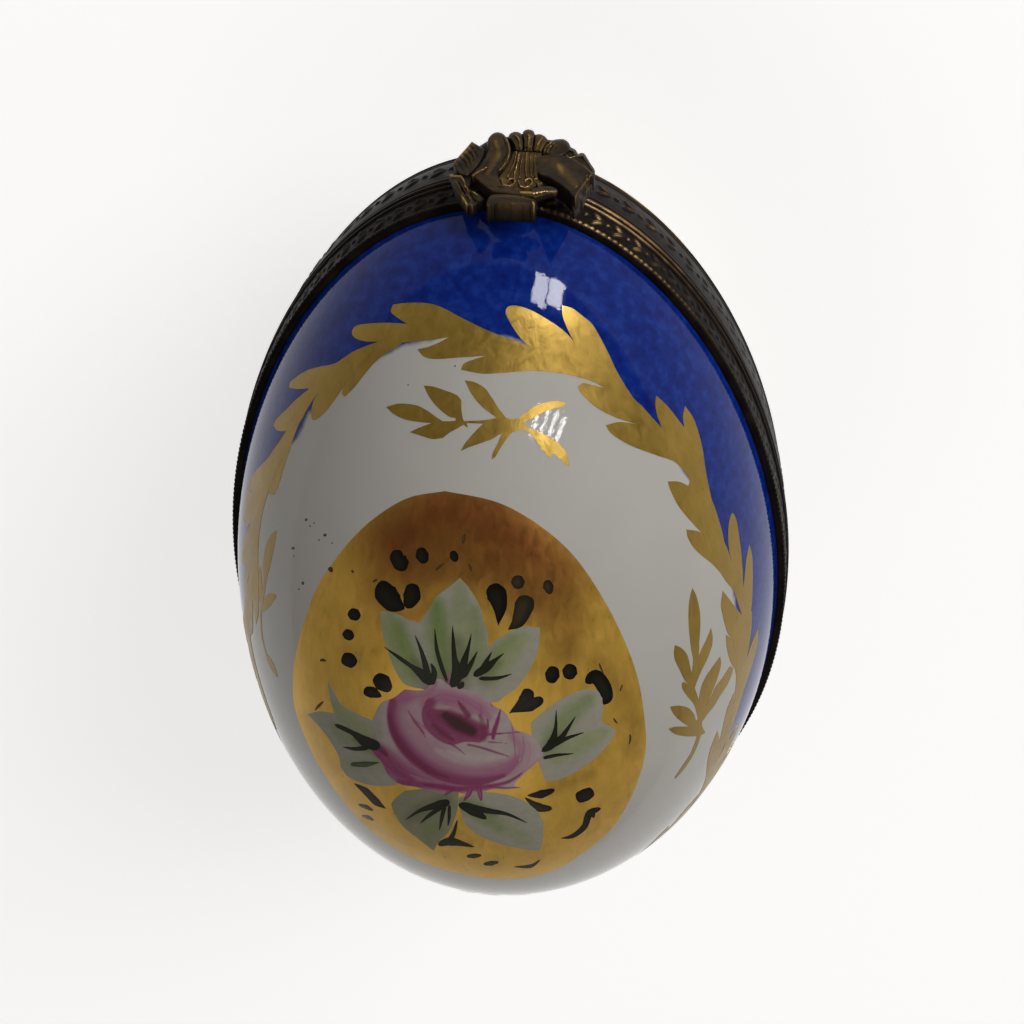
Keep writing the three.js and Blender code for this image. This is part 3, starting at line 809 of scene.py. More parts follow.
WREATH_TOP = [
    [(20, 440), (60, 400), (105, 350)],
    [(65, 353), (34, 348)],
    [(40, 326), (90, 290), (135, 275), (195, 262), (230, 240), (270, 215), (320, 195), (352, 184)],
    [(305, 183), (268, 171), (257, 150), (272, 128), (315, 120), (385, 117), (456, 121)],
    [(425, 103), (396, 78), (404, 52)],
    [(455, 46), (520, 47), (572, 60), (640, 95), (720, 135), (800, 168), (860, 190), (905, 211)],
    [(878, 193), (848, 160), (818, 112), (804, 80), (816, 58), (852, 58), (902, 76), (960, 110),
     (1012, 147), (1046, 182)],
    [(1024, 138), (1007, 92), (1005, 55)],
    [(1042, 66), (1082, 96), (1112, 122), (1142, 172), (1170, 226), (1200, 290), (1235, 350)],
    [(1262, 388), (1290, 414), (1322, 450), (1360, 491)],
    [(1345, 450), (1337, 410), (1340, 376)],
    [(1372, 405), (1402, 440), (1440, 491)],
    [(1436, 450), (1443, 413)],
    [(1472, 456), (1492, 512), (1506, 570), (1516, 640), (1532, 722), (1552, 800)],
    [(1505, 868)],
    [(1460, 820), (1420, 770), (1394, 720), (1381, 682)],
    [(1425, 684), (1475, 710)],
    [(1448, 656), (1405, 612), (1350, 592), (1270, 563), (1222, 540), (1180, 511), (1161, 482)],
    [(1210, 470), (1270, 478)],
    [(1200, 456), (1130, 420), (1076, 371), (1060, 345)],
    [(1080, 332), (1115, 339), (1157, 349)],
    [(1112, 326), (1068, 312), (1000, 297), (900, 288), (800, 295), (720, 298), (645, 284)],
    [(656, 262), (692, 247), (737, 234)],
    [(650, 240), (560, 246), (515, 238), (491, 211)],
    [(528, 203), (565, 188), (604, 167)],
    [(540, 178), (440, 187)],
    [(400, 214), (350, 246), (302, 300), (268, 344), (232, 380)],
    [(222, 366), (234, 336), (248, 311)],
    [(212, 368), (166, 430), (130, 461), (113, 455), (118, 402), (144, 354)],
    [(100, 420), (72, 470), (30, 500), (-10, 500), (-21, 478)],
]
WREATH_RIGHT = [
    [(150, 20), (162, 80), (185, 130), (210, 202), (235, 290), (246, 345)],
    [(266, 390), (291, 463)],
    [(275, 400), (268, 302), (276, 222), (294, 185), (316, 230), (331, 322), (345, 440), (354, 601)],
    [(362, 520), (372, 430), (387, 358)],
    [(402, 420), (406, 500), (405, 620), (400, 700), (390, 800), (381, 900), (376, 1000), (372, 1083)],
    [(360, 1098), (345, 1101)],
    [(308, 1060), (280, 1010), (262, 940), (257, 866)],
    [(277, 880), (299, 902)],
    [(264, 850), (240, 760), (229, 700), (239, 620)],
    [(270, 660), (304, 706), (346, 757)],
    [(321, 682), (300, 622), (260, 570), (220, 512), (170, 461), (118, 421), (72, 374), (44, 322),
     (36, 276)],
    [(60, 280), (95, 285), (131, 299)],
    [(100, 260), (60, 216), (20, 176), (0, 160)],
    [(62, -10)],
]
WREATH_LEFT = [
    [(394, 96)],
    [(340, 140), (290, 190), (240, 240), (226, 275), (252, 279), (285, 261), (313, 237)],
    [(290, 290), (260, 340), (225, 390), (190, 440), (142, 490), (105, 545)],
    [(88, 640), (92, 740)],
    [(118, 680), (160, 611)],
    [(142, 680), (133, 738)],
    [(152, 736), (172, 680), (196, 600), (216, 529)],
    [(205, 572), (198, 606)],
    [(228, 606), (256, 540), (276, 470), (300, 400), (330, 310), (360, 240), (400, 170), (452, 98)],
    [(440, 60), (408, 60)],
]
# Each stretch with its sheet's origin and scale, and its height over the glaze
WREATH_SPACING = 6.0
for runs, origin, scale, top in (
    (WREATH_TOP, (280, 290), 3.5636, 0.020),
    (WREATH_RIGHT, (680, 480), 5.6, 0.0215),
    (WREATH_LEFT, (228, 370), 4.9, 0.0215),
):
    lid_gold.fill(outline(runs, origin, scale), WREATH_SPACING, top)

# A bunch of the wreath, along it and across it towards the crown: crown side, plain stem and rim side
BUNCH_CROWN = [
    [(-9, 0.5), (-6, 1.1), (-4, 1.8), (-2, 2.5), (0, 2.8), (1.7, 2.5)],
    [(0.5, 1.9), (-0.3, 1.5)],
    [(1.5, 1.7), (3.5, 1.6), (4.9, 0.7)],
    [(3.6, 0.6), (2.5, 0.2)],
    [(-0.5, 0.1), (-3.5, 0.3)],
]
BUNCH_STEM = [[(-9, 0.5), (-3.5, 0.3)]]
BUNCH_RIM = [
    [(-2.3, -0.2), (-1.5, -1), (-1.1, -1.8)],
    [(-1.6, -2.2), (-2.8, -2.1), (-4, -1.8), (-6, -1.2)],
    [(-5.1, -1.8), (-4.7, -2.5), (-4.3, -3.2)],
    [(-5.9, -3.2), (-7.5, -2.4), (-9.5, -1.1), (-11.7, -0.5), (-15, 0)],
]

# Least and most stretch along the wreath, spread across it and sway
BUNCH_LEAST = (0.88, 0.92, -0.15)
BUNCH_MOST = (0.96, 1.08, 0.15)
BUNCH_STEP = 0.25
BUNCH_SPACING = 0.5
BUNCH_TOP = 0.0185
BUNCH_LAYER = 0.0006  # each bunch over the one before
STEM_POINTS = 300
STEM_TOP = 0.017
STEM_HALF_WIDTH = 0.4
STEM_SWELL = (0.1, 1.07)  # height of its waves, and radians to a millimetre
STEM_SWAY = (0.25, 0.9)


def bunch(sheets, along, surface, number, crown=BUNCH_CROWN):
    """One bunch of the wreath, a little different each time."""
    stretch, spread, sway = rng.uniform(BUNCH_LEAST, BUNCH_MOST)
    loop = outline(crown + BUNCH_RIM, step=BUNCH_STEP) * (stretch, spread)
    loop[:, 1] += sway * np.sin(loop[:, 0] / 2)
    sheets.fill(loop + (along, 0), BUNCH_SPACING, BUNCH_TOP + BUNCH_LAYER * number, surface=surface)


def stem(sheets, first, last, surface):
    """The wavy stem that runs through the bunches."""
    along = np.linspace(first, last, STEM_POINTS)
    width = STEM_HALF_WIDTH + STEM_SWELL[0] * np.sin(along * STEM_SWELL[1])
    across = STEM_SWAY[0] * np.sin(along * STEM_SWAY[1])
    sheets.add(ribbon(np.stack([along, across], -1), width), STEM_TOP, surface=surface)


PITCH = 11.95
LID_BUNCHES = 8
BASE_BUNCHES = 13
LAST_BUNCH = lid_wreath.length - 32.6  # the first one out of the picture
STEM_START = 26.0
STEM_END = LAST_BUNCH - 3
FULL_TURN = 0.9999  # of the base's wreath, so that the stem's ends do not cross
bunch(lid_gold, LAST_BUNCH, lid_wreath, 0, BUNCH_STEM)
for number in range(1, LID_BUNCHES):
    bunch(lid_gold, LAST_BUNCH - PITCH * number, lid_wreath, number)
stem(lid_gold, STEM_START, STEM_END, lid_wreath)
for number in range(BASE_BUNCHES):
    bunch(base_gold, base_wreath.length / BASE_BUNCHES * number, base_wreath, number)
stem(base_gold, 0, base_wreath.length * FULL_TURN, base_wreath)

# Gilded sprigs in the white ground: leaves as outlines, then stems as routes and half widths
TOP_SPRIG_LEAVES = [
    [(150, 264), (280, 275), (370, 318), (440, 368), (492, 402)],
    [(550, 401), (594, 398)],
    [(592, 376)],
    [(540, 363), (450, 290), (385, 205), (345, 122)],
    [(420, 130), (520, 163), (600, 196), (638, 236)],
    [(640, 320), (652, 392)],
    [(676, 410), (690, 452)],
    [(670, 438), (655, 428)],
    [(600, 462), (545, 492), (492, 534)],
    [(410, 541), (330, 518), (235, 487)],
    [(300, 455), (360, 432), (405, 416)],
    [(330, 410), (200, 388), (110, 345), (50, 290)],
]
TOP_SPRIG_FORK = [
    [(740, 95), (820, 140), (870, 205), (930, 300), (985, 372)],
    [(1030, 385), (1080, 378), (1140, 338), (1200, 293), (1300, 255), (1400, 243), (1460, 262)],
    [(1430, 290), (1350, 305), (1250, 345), (1180, 388), (1130, 412)],
    [(1140, 440)],
    [(1180, 458), (1240, 483), (1310, 518), (1390, 568), (1440, 618), (1475, 690), (1485, 758)],
    [(1455, 738), (1432, 716)],
    [(1412, 694), (1398, 700)],
    [(1388, 672), (1360, 655)],
    [(1345, 662), (1332, 688)],
    [(1312, 672), (1290, 640), (1262, 622)],
    [(1256, 592), (1225, 560), (1200, 520), (1160, 485), (1110, 466)],
    [(1080, 474), (1035, 490)],
    [(990, 545), (945, 610), (905, 680), (875, 702)],
    [(885, 650), (925, 570), (958, 494)],
    [(930, 510), (880, 540), (800, 570), (700, 605), (632, 637)],
    [(670, 570), (740, 490), (800, 430), (850, 400)],
    [(890, 392), (930, 388)],
    [(870, 342), (800, 288), (720, 190), (665, 80)],
]
RIGHT_SPRIG_LEAVES = [
    [(308, 120), (332, 220), (338, 330), (332, 430), (326, 565)],
    [(350, 512), (388, 432), (418, 360)],
    [(430, 425), (424, 490), (392, 585), (345, 680), (312, 760), (296, 808)],
    [(312, 850), (325, 897)],
    [(345, 800), (380, 720), (430, 648), (485, 570)],
    [(492, 630), (468, 725), (430, 825), (398, 905), (372, 960), (355, 1018)],
    [(388, 930), (425, 855), (455, 790), (510, 720), (560, 642)],
    [(582, 668), (545, 770), (485, 865), (440, 940), (392, 1000), (350, 1060)],
    [(352, 1095), (376, 1138)],
    [(345, 1156), (290, 1166), (220, 1166), (150, 1150), (100, 1112)],
    [(150, 1096), (200, 1094), (252, 1094)],
    [(190, 1052), (140, 1003), (112, 946)],
    [(180, 938), (250, 955), (290, 1000), (306, 1052)],
    [(318, 1040), (308, 985), (285, 920), (240, 868), (205, 812), (200, 770)],
    [(220, 762), (245, 778)],
    [(215, 735), (178, 660), (148, 595), (141, 540), (150, 485)],
    [(200, 510), (240, 560), (258, 625), (274, 702)],
    [(284, 600), (270, 520), (258, 420), (250, 300), (252, 200), (262, 120), (280, 60)],
]
SPRIG_STEP = 1.2
SPRIG_SPACING = 4.0
SPRIG_TOP = 0.018
for runs, origin, scale in (
    (TOP_SPRIG_LEAVES, (380, 370), 7.84),
    (TOP_SPRIG_FORK, (380, 370), 7.84),
    (RIGHT_SPRIG_LEAVES, (655, 580), 7.467),
):
    lid_gold.fill(outline(runs, origin, scale, SPRIG_STEP), SPRIG_SPACING, SPRIG_TOP)
SPRIG_STEM_POINTS = 24
SPRIG_STEM_TOP = 0.022
SPRIG_LAYER = 0.001
SPRIG_STEMS = [
    ([(464, 422), (477, 422), (488, 421.7), (499, 421)], [1.0, 1.4, 2.0, 3.5]),
    ([(699.2, 734), (696.5, 743), (691, 755.5), (683, 767.5), (675, 778.2)], [1.9, 1.6, 1.6, 1.6, 0.8]),
]
for number, (route, widths) in enumerate(SPRIG_STEMS):
    path = smooth_path(route, SPRIG_STEM_POINTS)
    lid_gold.add(ribbon(path, even_widths(widths, SPRIG_STEM_POINTS)), SPRIG_STEM_TOP + SPRIG_LAYER * number)

# Sprigs at the left side and the hinge end, along the wreath's line: leaves as root, tip and half width
SIDE_LEAF_TOP = 0.014
SIDE_STEM_POINTS = 30
SIDE_STEM_HALF_WIDTH = 0.18
LEFT_SPRIG = [
    ((30.4, 3.3), (24.9, 3.0), 0.62), ((33.0, 3.5), (29.6, 2.2), 0.45), ((33.0, 3.6), (29.8, 5.2), 0.45),
    ((37.2, 4.3), (38.0, 6.3), 0.6),
]
LEFT_STEM = [(30.2, 3.3), (32.0, 3.3), (34.0, 3.3), (36.0, 3.7), (37.4, 4.7)]
HINGE_SPRIG = [
    ((0.4, 5.0), (4.6, 6.0), 0.55), ((-0.8, 5.0), (3.2, 3.9), 0.5), ((-1.6, 5.2), (1.6, 7.4), 0.55),
    ((-3.6, 5.0), (-0.6, 3.0), 0.5), ((-4.2, 5.0), (-1.4, 7.6), 0.45),
]
HINGE_STEM = [(-6.4, 5.05), (-2.0, 5.05), (1.0, 5.05)]
for place, leaves, route in ((0, LEFT_SPRIG, LEFT_STEM), (lid_wreath.length / 2, HINGE_SPRIG, HINGE_STEM)):
    shift = np.array([place, 0])
    for number, (root, tip, half_width) in enumerate(leaves):
        grid = leaf(np.array(root) + shift, np.array(tip) + shift, half_width)
        lid_gold.add(grid, SIDE_LEAF_TOP + SPRIG_LAYER * number, surface=lid_wreath)
    stalk = smooth_path(route, SIDE_STEM_POINTS) + shift
    lid_gold.add(ribbon(stalk, np.full(SIDE_STEM_POINTS, SIDE_STEM_HALF_WIDTH)), surface=lid_wreath)

lid_gold.build("lid_gilding", GOLD, "lid")
base_gold.build("base_gilding", GOLD, "base", side=-1)

# Painting on the crown, read on a sheet enlarged from the drawing
PAINTING_ORIGIN = np.array([290.0, 480.0])
PAINTING_SCALE = 3.824


def coverage(points, route, half_widths, soft=0.8, streaks=0.0, sharp=1.0, wide=1.0, count=40):
    """How much of a stroke lies on each point. On the left of the route its edge is sharper by the factor
    sharp, and on the right it spreads wider by the factor wide."""
    path = smooth_path(route, count)
    stations = np.linspace(0, 1, count)
    widths = even_widths(half_widths, count)
    step = np.diff(path, axis=0)
    away = points[:, None] - path[:-1]
    share = np.clip((away * step).sum(-1) / (step**2).sum(-1), 0, 1)
    gap = away - share[..., None] * step
    distance = np.linalg.norm(gap, axis=-1)
    best = distance.argmin(1)
    rows = np.arange(len(points))
    place = (best + share[rows, best]) / len(step)
    turn = step[best, 0] * gap[rows, best, 1] - step[best, 1] * gap[rows, best, 0]
    outer = turn > 0
    reach = distance[rows, best] / np.interp(place, stations, widths) / np.where(outer, 1, wide)
    cover = np.clip((1 - reach) / (soft * np.where(outer, sharp, 1)), 0, 1)
    cover = cover**2 * (3 - 2 * cover)
    side = np.sign(turn) * reach
    # Two sets of brush hairs that waver along the stroke
    hairs = np.sin(15 * side + 2.5 * np.sin(5 * place)) + np.sin(31 * side - 3 * np.sin(4 * place + 1))
    return cover * (1 - streaks * (0.5 + 0.25 * hairs))


def painter(ground, strokes, origin=PAINTING_ORIGIN, scale=PAINTING_SCALE):
    """A colour function over drawing points: a ground colour under a list of strokes."""
    def colours(flat):
        points = (flat - origin) * scale
        laid = np.tile(np.array(ground, float), (len(points), 1))
        for route, half_widths, colour, strength, *feel in strokes:
            cover = coverage(points, route, half_widths, *feel)[:, None]
            laid += (np.array(colour) - laid) * strength * cover
        return laid
    return colours


MAGENTA = (0.235, 0.030, 0.112)
DEEP = (0.16, 0.018, 0.056)
ROSE = (0.335, 0.09, 0.2)
PINK = (0.41, 0.205, 0.285)
BLUSH = (0.44, 0.345, 0.35)
ROSE_GROUND = (0.41, 0.335, 0.33)
HEART = (0.055, 0.010, 0.018)
LEAF_WHITE = (0.35, 0.335, 0.275)
LEAF_OLIVE = (0.26, 0.255, 0.165)
LEAF_PALE = (0.28, 0.31, 0.15)
LEAF_GREEN = (0.155, 0.23, 0.052)
LEAF_DUSK = (0.11, 0.12, 0.05)
VEIN = (0.013, 0.016, 0.009)
INK = (0.006, 0.0055, 0.0035)

# Outlines, and strokes as route, half widths, colour, strength and the brush's feel as in coverage
TOP_LEAVES = [
    [(350, 560), (370, 640), (400, 720), (440, 780), (510, 800)],
    [(640, 850), (780, 850), (830, 820)],
    [(870, 790), (920, 720), (950, 640), (955, 565)],
    [(900, 560), (840, 580), (790, 610), (752, 640)],
    [(757, 590), (742, 540)],
    [(725, 480), (690, 420), (650, 373)],
    [(610, 408), (560, 445), (535, 485), (497, 545)],
    [(450, 532), (400, 508), (345, 500)],
]
TOP_LEAF_STROKES = [
    ([(450, 740), (405, 620), (378, 530)], [80, 75, 55], LEAF_PALE, 0.9),
    ([(480, 720), (440, 630), (415, 560)], [60, 66, 46], LEAF_GREEN, 0.8, 1.0, 0.25),
    ([(590, 740), (570, 590), (560, 480)], [80, 84, 60], LEAF_GREEN, 0.95, 1.0, 0.2),
    ([(660, 720), (660, 570), (650, 430)], [80, 76, 50], LEAF_PALE, 0.85, 1.0, 0.2),
    ([(710, 700), (722, 610), (705, 500)], [56, 60, 46], LEAF_GREEN, 0.6, 1.0, 0.3),
    ([(640, 520), (655, 450), (650, 385)], [46, 46, 24], (0.26, 0.29, 0.17), 0.7),
    ([(770, 740), (830, 665), (880, 605)], [80, 74, 56], LEAF_PALE, 0.8),
    ([(760, 710), (800, 650), (845, 605)], [56, 56, 36], LEAF_GREEN, 0.55, 1.0, 0.3),
    ([(630, 790), (650, 710), (640, 620)], [90, 90, 50], LEAF_DUSK, 0.6, 1.0),
    ([(530, 790), (505, 735), (470, 690)], [70, 66, 30], LEAF_DUSK, 0.55, 1.0),
    ([(750, 760), (770, 720), (800, 700)], [60, 60, 26], LEAF_DUSK, 0.45, 1.0),
    ([(540, 815), (600, 780), (625, 750)], [50, 54, 26], ROSE, 0.75, 1.0),
]
LEFT_LEAF = [
    [(165, 805), (200, 860), (260, 895), (330, 925)],
    [(400, 1050), (420, 1150)],
    [(400, 1166), (310, 1166), (230, 1138), (195, 1100)],
    [(185, 1050), (150, 990), (110, 940), (68, 895)],
    [(110, 885), (172, 892)],
    [(155, 840), (145, 768)],
]
LEFT_LEAF_STROKES = [
    ([(320, 1000), (230, 930), (170, 860)], [70, 60, 30], LEAF_PALE, 0.7),
    ([(300, 1010), (220, 990), (160, 940)], [40, 45, 25], LEAF_GREEN, 0.45, 0.9, 0.3),
    ([(340, 1080), (260, 1090), (215, 1080)], [40, 40, 25], LEAF_PALE, 0.6),
    ([(340, 1030), (290, 1010), (250, 990)], [60, 50, 20], LEAF_DUSK, 0.55, 1.0),
]
RIGHT_LEAF = [
    [(920, 930)],
    [(960, 895), (1010, 855), (1070, 820), (1130, 797)],
    [(1180, 808), (1197, 850), (1190, 925)],
    [(1220, 940), (1250, 960)],
    [(1215, 1010), (1170, 1060), (1110, 1105), (1040, 1140), (980, 1152)],
    [(955, 1090), (930, 1010)],
]
RIGHT_LEAF_STROKES = [
    ([(1000, 980), (1070, 900), (1140, 840)], [60, 65, 45], LEAF_GREEN, 0.7, 0.9, 0.3),
    ([(1020, 1050), (1110, 1010), (1190, 970)], [55, 60, 40], LEAF_PALE, 0.8),
    ([(980, 1030), (1020, 990), (1050, 970)], [50, 45, 20], LEAF_DUSK, 0.5, 1.0),
]
LOW_LEFT_LEAF = [
    [(540, 1180), (440, 1188)],
    [(400, 1220), (390, 1250), (430, 1320), (490, 1370), (550, 1417)],
    [(570, 1380), (610, 1340), (640, 1260), (645, 1190)],
]
LOW_LEFT_STROKES = [
    ([(590, 1230), (500, 1270), (460, 1290)], [60, 60, 40], LEAF_DUSK, 0.5, 1.0),
    ([(560, 1330), (520, 1350), (540, 1390)], [45, 40, 20], LEAF_GREEN, 0.6, 0.9, 0.3),
]
LOW_RIGHT_LEAF = [
    [(720, 1195), (800, 1198), (870, 1215), (940, 1260), (970, 1310)],
    [(967, 1370), (955, 1417)],
    [(880, 1408), (800, 1390), (720, 1355), (670, 1310), (640, 1215)],
]
LOW_RIGHT_STROKES = [
    ([(700, 1260), (800, 1320), (900, 1370)], [50, 60, 40], LEAF_PALE, 0.6),
    ([(680, 1240), (750, 1290), (800, 1330)], [40, 45, 25], LEAF_GREEN, 0.5, 0.9, 0.3),
    ([(660, 1240), (720, 1260), (790, 1275)], [40, 45, 20], LEAF_DUSK, 0.5, 1.0),
]
ROSE_ORIGIN = np.array([375.0, 680.0])
ROSE_SCALE = 8.4757
ROSE_EDGE = [
    [(160, 150), (60, 190), (0, 290), (-20, 390), (10, 470), (-25, 525)],
    [(-15, 610), (55, 690), (100, 780), (150, 840), (230, 885), (350, 905), (480, 940), (600, 965)],
    [(700, 950), (800, 975), (900, 950), (1000, 922), (1120, 925), (1245, 908)],
    [(1180, 885), (1255, 800), (1330, 735), (1400, 660), (1425, 620), (1400, 560), (1335, 480),
     (1260, 440)],
    [(1190, 420), (1140, 330), (1090, 262), (1000, 210), (900, 120), (780, 80), (640, 50), (560, -10)],
    [(515, -5), (440, 70), (380, 90), (250, 80)],
]
ROSE_STROKES = [
    ([(30, 200), (20, 330), (40, 470)], [80, 80, 60], (0.34, 0.30, 0.27), 0.9, 1.0),
    ([(230, 130), (450, 110), (650, 140), (850, 190), (1000, 250)], [110, 120, 130, 110, 70],
     PINK, 0.9, 0.9, 0.35),
    ([(330, 260), (400, 450), (600, 600)], [110, 130, 90], PINK, 0.75, 1.0, 0.1),
    ([(520, 20), (480, 80), (400, 130), (250, 160)], [30, 50, 60, 60], ROSE, 0.7, 1.0, 0.5),
    ([(-20, 560), (110, 690), (270, 800), (460, 860), (700, 905), (950, 905)], [90, 150, 150, 110, 70, 45],
     ROSE, 1.0, 0.6, 0.25),
    ([(-20, 560), (60, 640), (170, 750), (300, 830)], [80, 100, 100, 70], MAGENTA, 0.8, 0.9, 0.3),
    ([(-20, 545), (40, 575), (100, 630)], [50, 46, 30], DEEP, 0.85, 1.0),
    ([(200, 860), (330, 880), (500, 890), (660, 915)], [40, 44, 40, 30], MAGENTA, 0.85, 0.9, 0.3),
    ([(1190, 440), (1290, 560), (1290, 700), (1180, 800)], [70, 80, 80, 60], PINK, 0.8, 1.0, 0.6),
    ([(1160, 470), (1230, 580), (1210, 700), (1110, 790), (930, 850)], [56, 66, 64, 56, 50],
     ROSE, 0.7, 1.0, 0.55),
    ([(190, 130), (150, 200), (140, 310), (165, 430), (235, 560), (360, 690), (540, 790), (740, 840),
     (940, 830), (1100, 780), (1200, 690)],
     [50, 48, 48, 52, 58, 60, 58, 54, 50, 42, 24], ROSE, 0.95, 0.9, 0.15, 0.35, 4.2),
    ([(150, 180), (135, 300), (160, 420), (225, 540), (340, 670), (520, 790), (720, 850), (920, 855),
     (1090, 810)],
     [30, 36, 42, 48, 50, 46, 42, 34, 16], MAGENTA, 1.0, 0.9, 0.15, 0.35, 2.0),
    ([(125, 290), (150, 400), (215, 530), (330, 660), (480, 770), (620, 825)], [16, 26, 32, 34, 28, 12],
     DEEP, 0.85, 1.0, 0.2, 0.4, 1.6),
    ([(520, 590), (700, 670), (880, 680), (1080, 640)], [34, 60, 70, 40], BLUSH, 0.8, 1.0, 0.1),
    ([(620, 600), (800, 650), (1000, 660)], [26, 44, 34], (0.47, 0.39, 0.385), 0.8, 1.0),
    ([(430, 200), (560, 150), (700, 170), (850, 230), (960, 310)], [90, 100, 100, 90, 60],
     ROSE, 0.9, 0.9, 0.45),
    ([(490, 290), (600, 350), (740, 390), (900, 440)], [70, 150, 130, 90], MAGENTA, 1.0, 0.45, 0.12),
    ([(470, 190), (440, 280), (470, 380), (560, 460), (650, 510), (760, 490), (880, 500)],
     [46, 50, 56, 60, 44, 36, 34], MAGENTA, 1.0, 0.8, 0.15, 0.3, 1.7),
    ([(600, 190), (700, 220), (820, 280)], [40, 46, 40], ROSE, 0.6, 1.0, 0.5),
    ([(500, 380), (580, 450), (660, 505)], [34, 44, 24], DEEP, 0.9, 0.9, 0.1),
    ([(890, 300), (920, 390), (920, 500)], [24, 46, 34], DEEP, 0.8, 0.8, 0.4),
    ([(705, 175), (740, 230), (790, 300)], [10, 30, 40], DEEP, 0.85, 0.7),
    ([(955, 330), (955, 390), (930, 440)], [10, 22, 22], MAGENTA, 0.9, 0.7),
    ([(560, 300), (700, 370), (850, 430)], [90, 120, 90], DEEP, 0.75, 1.0, 0.1),
    ([(600, 300), (700, 365), (820, 430)], [52, 94, 66], HEART, 1.0, 0.7, 0.05),
    ([(640, 330), (720, 380), (800, 420)], [26, 40, 30], HEART, 0.8, 0.8),
    ([(1062, 250), (1040, 340), (1010, 430), (1000, 490)], [9, 22, 28, 20], MAGENTA, 1.0, 0.5),
    ([(950, 460), (1050, 452), (1140, 445), (1250, 440)], [16, 12, 7, 3], MAGENTA, 0.95, 0.6),
    ([(960, 522), (1040, 528), (1115, 536)], [9, 7, 3], MAGENTA, 0.85, 0.6),
    ([(790, 545), (900, 570), (1030, 612), (1145, 648)], [14, 16, 14, 4], MAGENTA, 0.9, 0.7),
    ([(630, 530), (700, 575), (765, 630)], [18, 10, 3], MAGENTA, 0.9, 0.6),
    ([(280, 258), (340, 350), (400, 430), (425, 480)], [5, 20, 16, 4], MAGENTA, 0.85, 0.7),
    ([(360, 350), (420, 400), (470, 440)], [6, 14, 6], ROSE, 0.7, 0.8),
    ([(1140, 300), (1165, 410), (1180, 520), (1190, 660)], [5, 8, 9, 5], ROSE, 0.85, 0.6),
    ([(1255, 470), (1262, 580), (1240, 700)], [6, 10, 6], ROSE, 0.6, 0.7),
    ([(1300, 520), (1310, 620), (1280, 720)], [5, 9, 5], PINK, 0.7, 0.7),
    ([(985, 185), (990, 220)], [9, 7], ROSE, 0.9, 0.6),
    ([(890, 200), (900, 260), (905, 320)], [5, 12, 8], ROSE, 0.7, 0.8),
    ([(1275, 758), (1200, 820), (1100, 870), (960, 895)], [5, 18, 24, 20], MAGENTA, 0.95, 0.7),
    ([(1400, 655), (1340, 710), (1250, 780)], [6, 12, 8], PINK, 0.8, 0.7),
    ([(420, 885), (560, 905), (700, 920), (860, 905), (980, 900)], [16, 26, 36, 40, 16],
     MAGENTA, 0.95, 0.8, 0.15),
    ([(980, 905), (1100, 910), (1240, 910)], [18, 12, 3], MAGENTA, 0.9, 0.7),
    ([(300, 800), (420, 845), (560, 872)], [10, 14, 10], PINK, 0.6, 0.9),
]
LEAF_SPACING = 2.6
LEAF_TOP = 0.022
LEAF_LAYER = 0.002  # each leaf over the one before
ROSE_STEP = 1.5
ROSE_SPACING = 1.1
ROSE_TOP = 0.034
painting = Sheets(drawn)
for number, (runs, ground, strokes) in enumerate((
    (TOP_LEAVES, LEAF_WHITE, TOP_LEAF_STROKES),
    (LEFT_LEAF, LEAF_WHITE, LEFT_LEAF_STROKES),
    (RIGHT_LEAF, LEAF_WHITE, RIGHT_LEAF_STROKES),
    (LOW_LEFT_LEAF, LEAF_OLIVE, LOW_LEFT_STROKES),
    (LOW_RIGHT_LEAF, LEAF_WHITE, LOW_RIGHT_STROKES),
)):
    loop = outline(runs, PAINTING_ORIGIN, PAINTING_SCALE)
    painting.fill(loop, LEAF_SPACING, LEAF_TOP + LEAF_LAYER * number, paint=painter(ground, strokes))
loop = outline(ROSE_EDGE, ROSE_ORIGIN, ROSE_SCALE, ROSE_STEP)
petals = painter(ROSE_GROUND, ROSE_STROKES, ROSE_ORIGIN, ROSE_SCALE)
painting.fill(loop, ROSE_SPACING, ROSE_TOP, paint=petals)

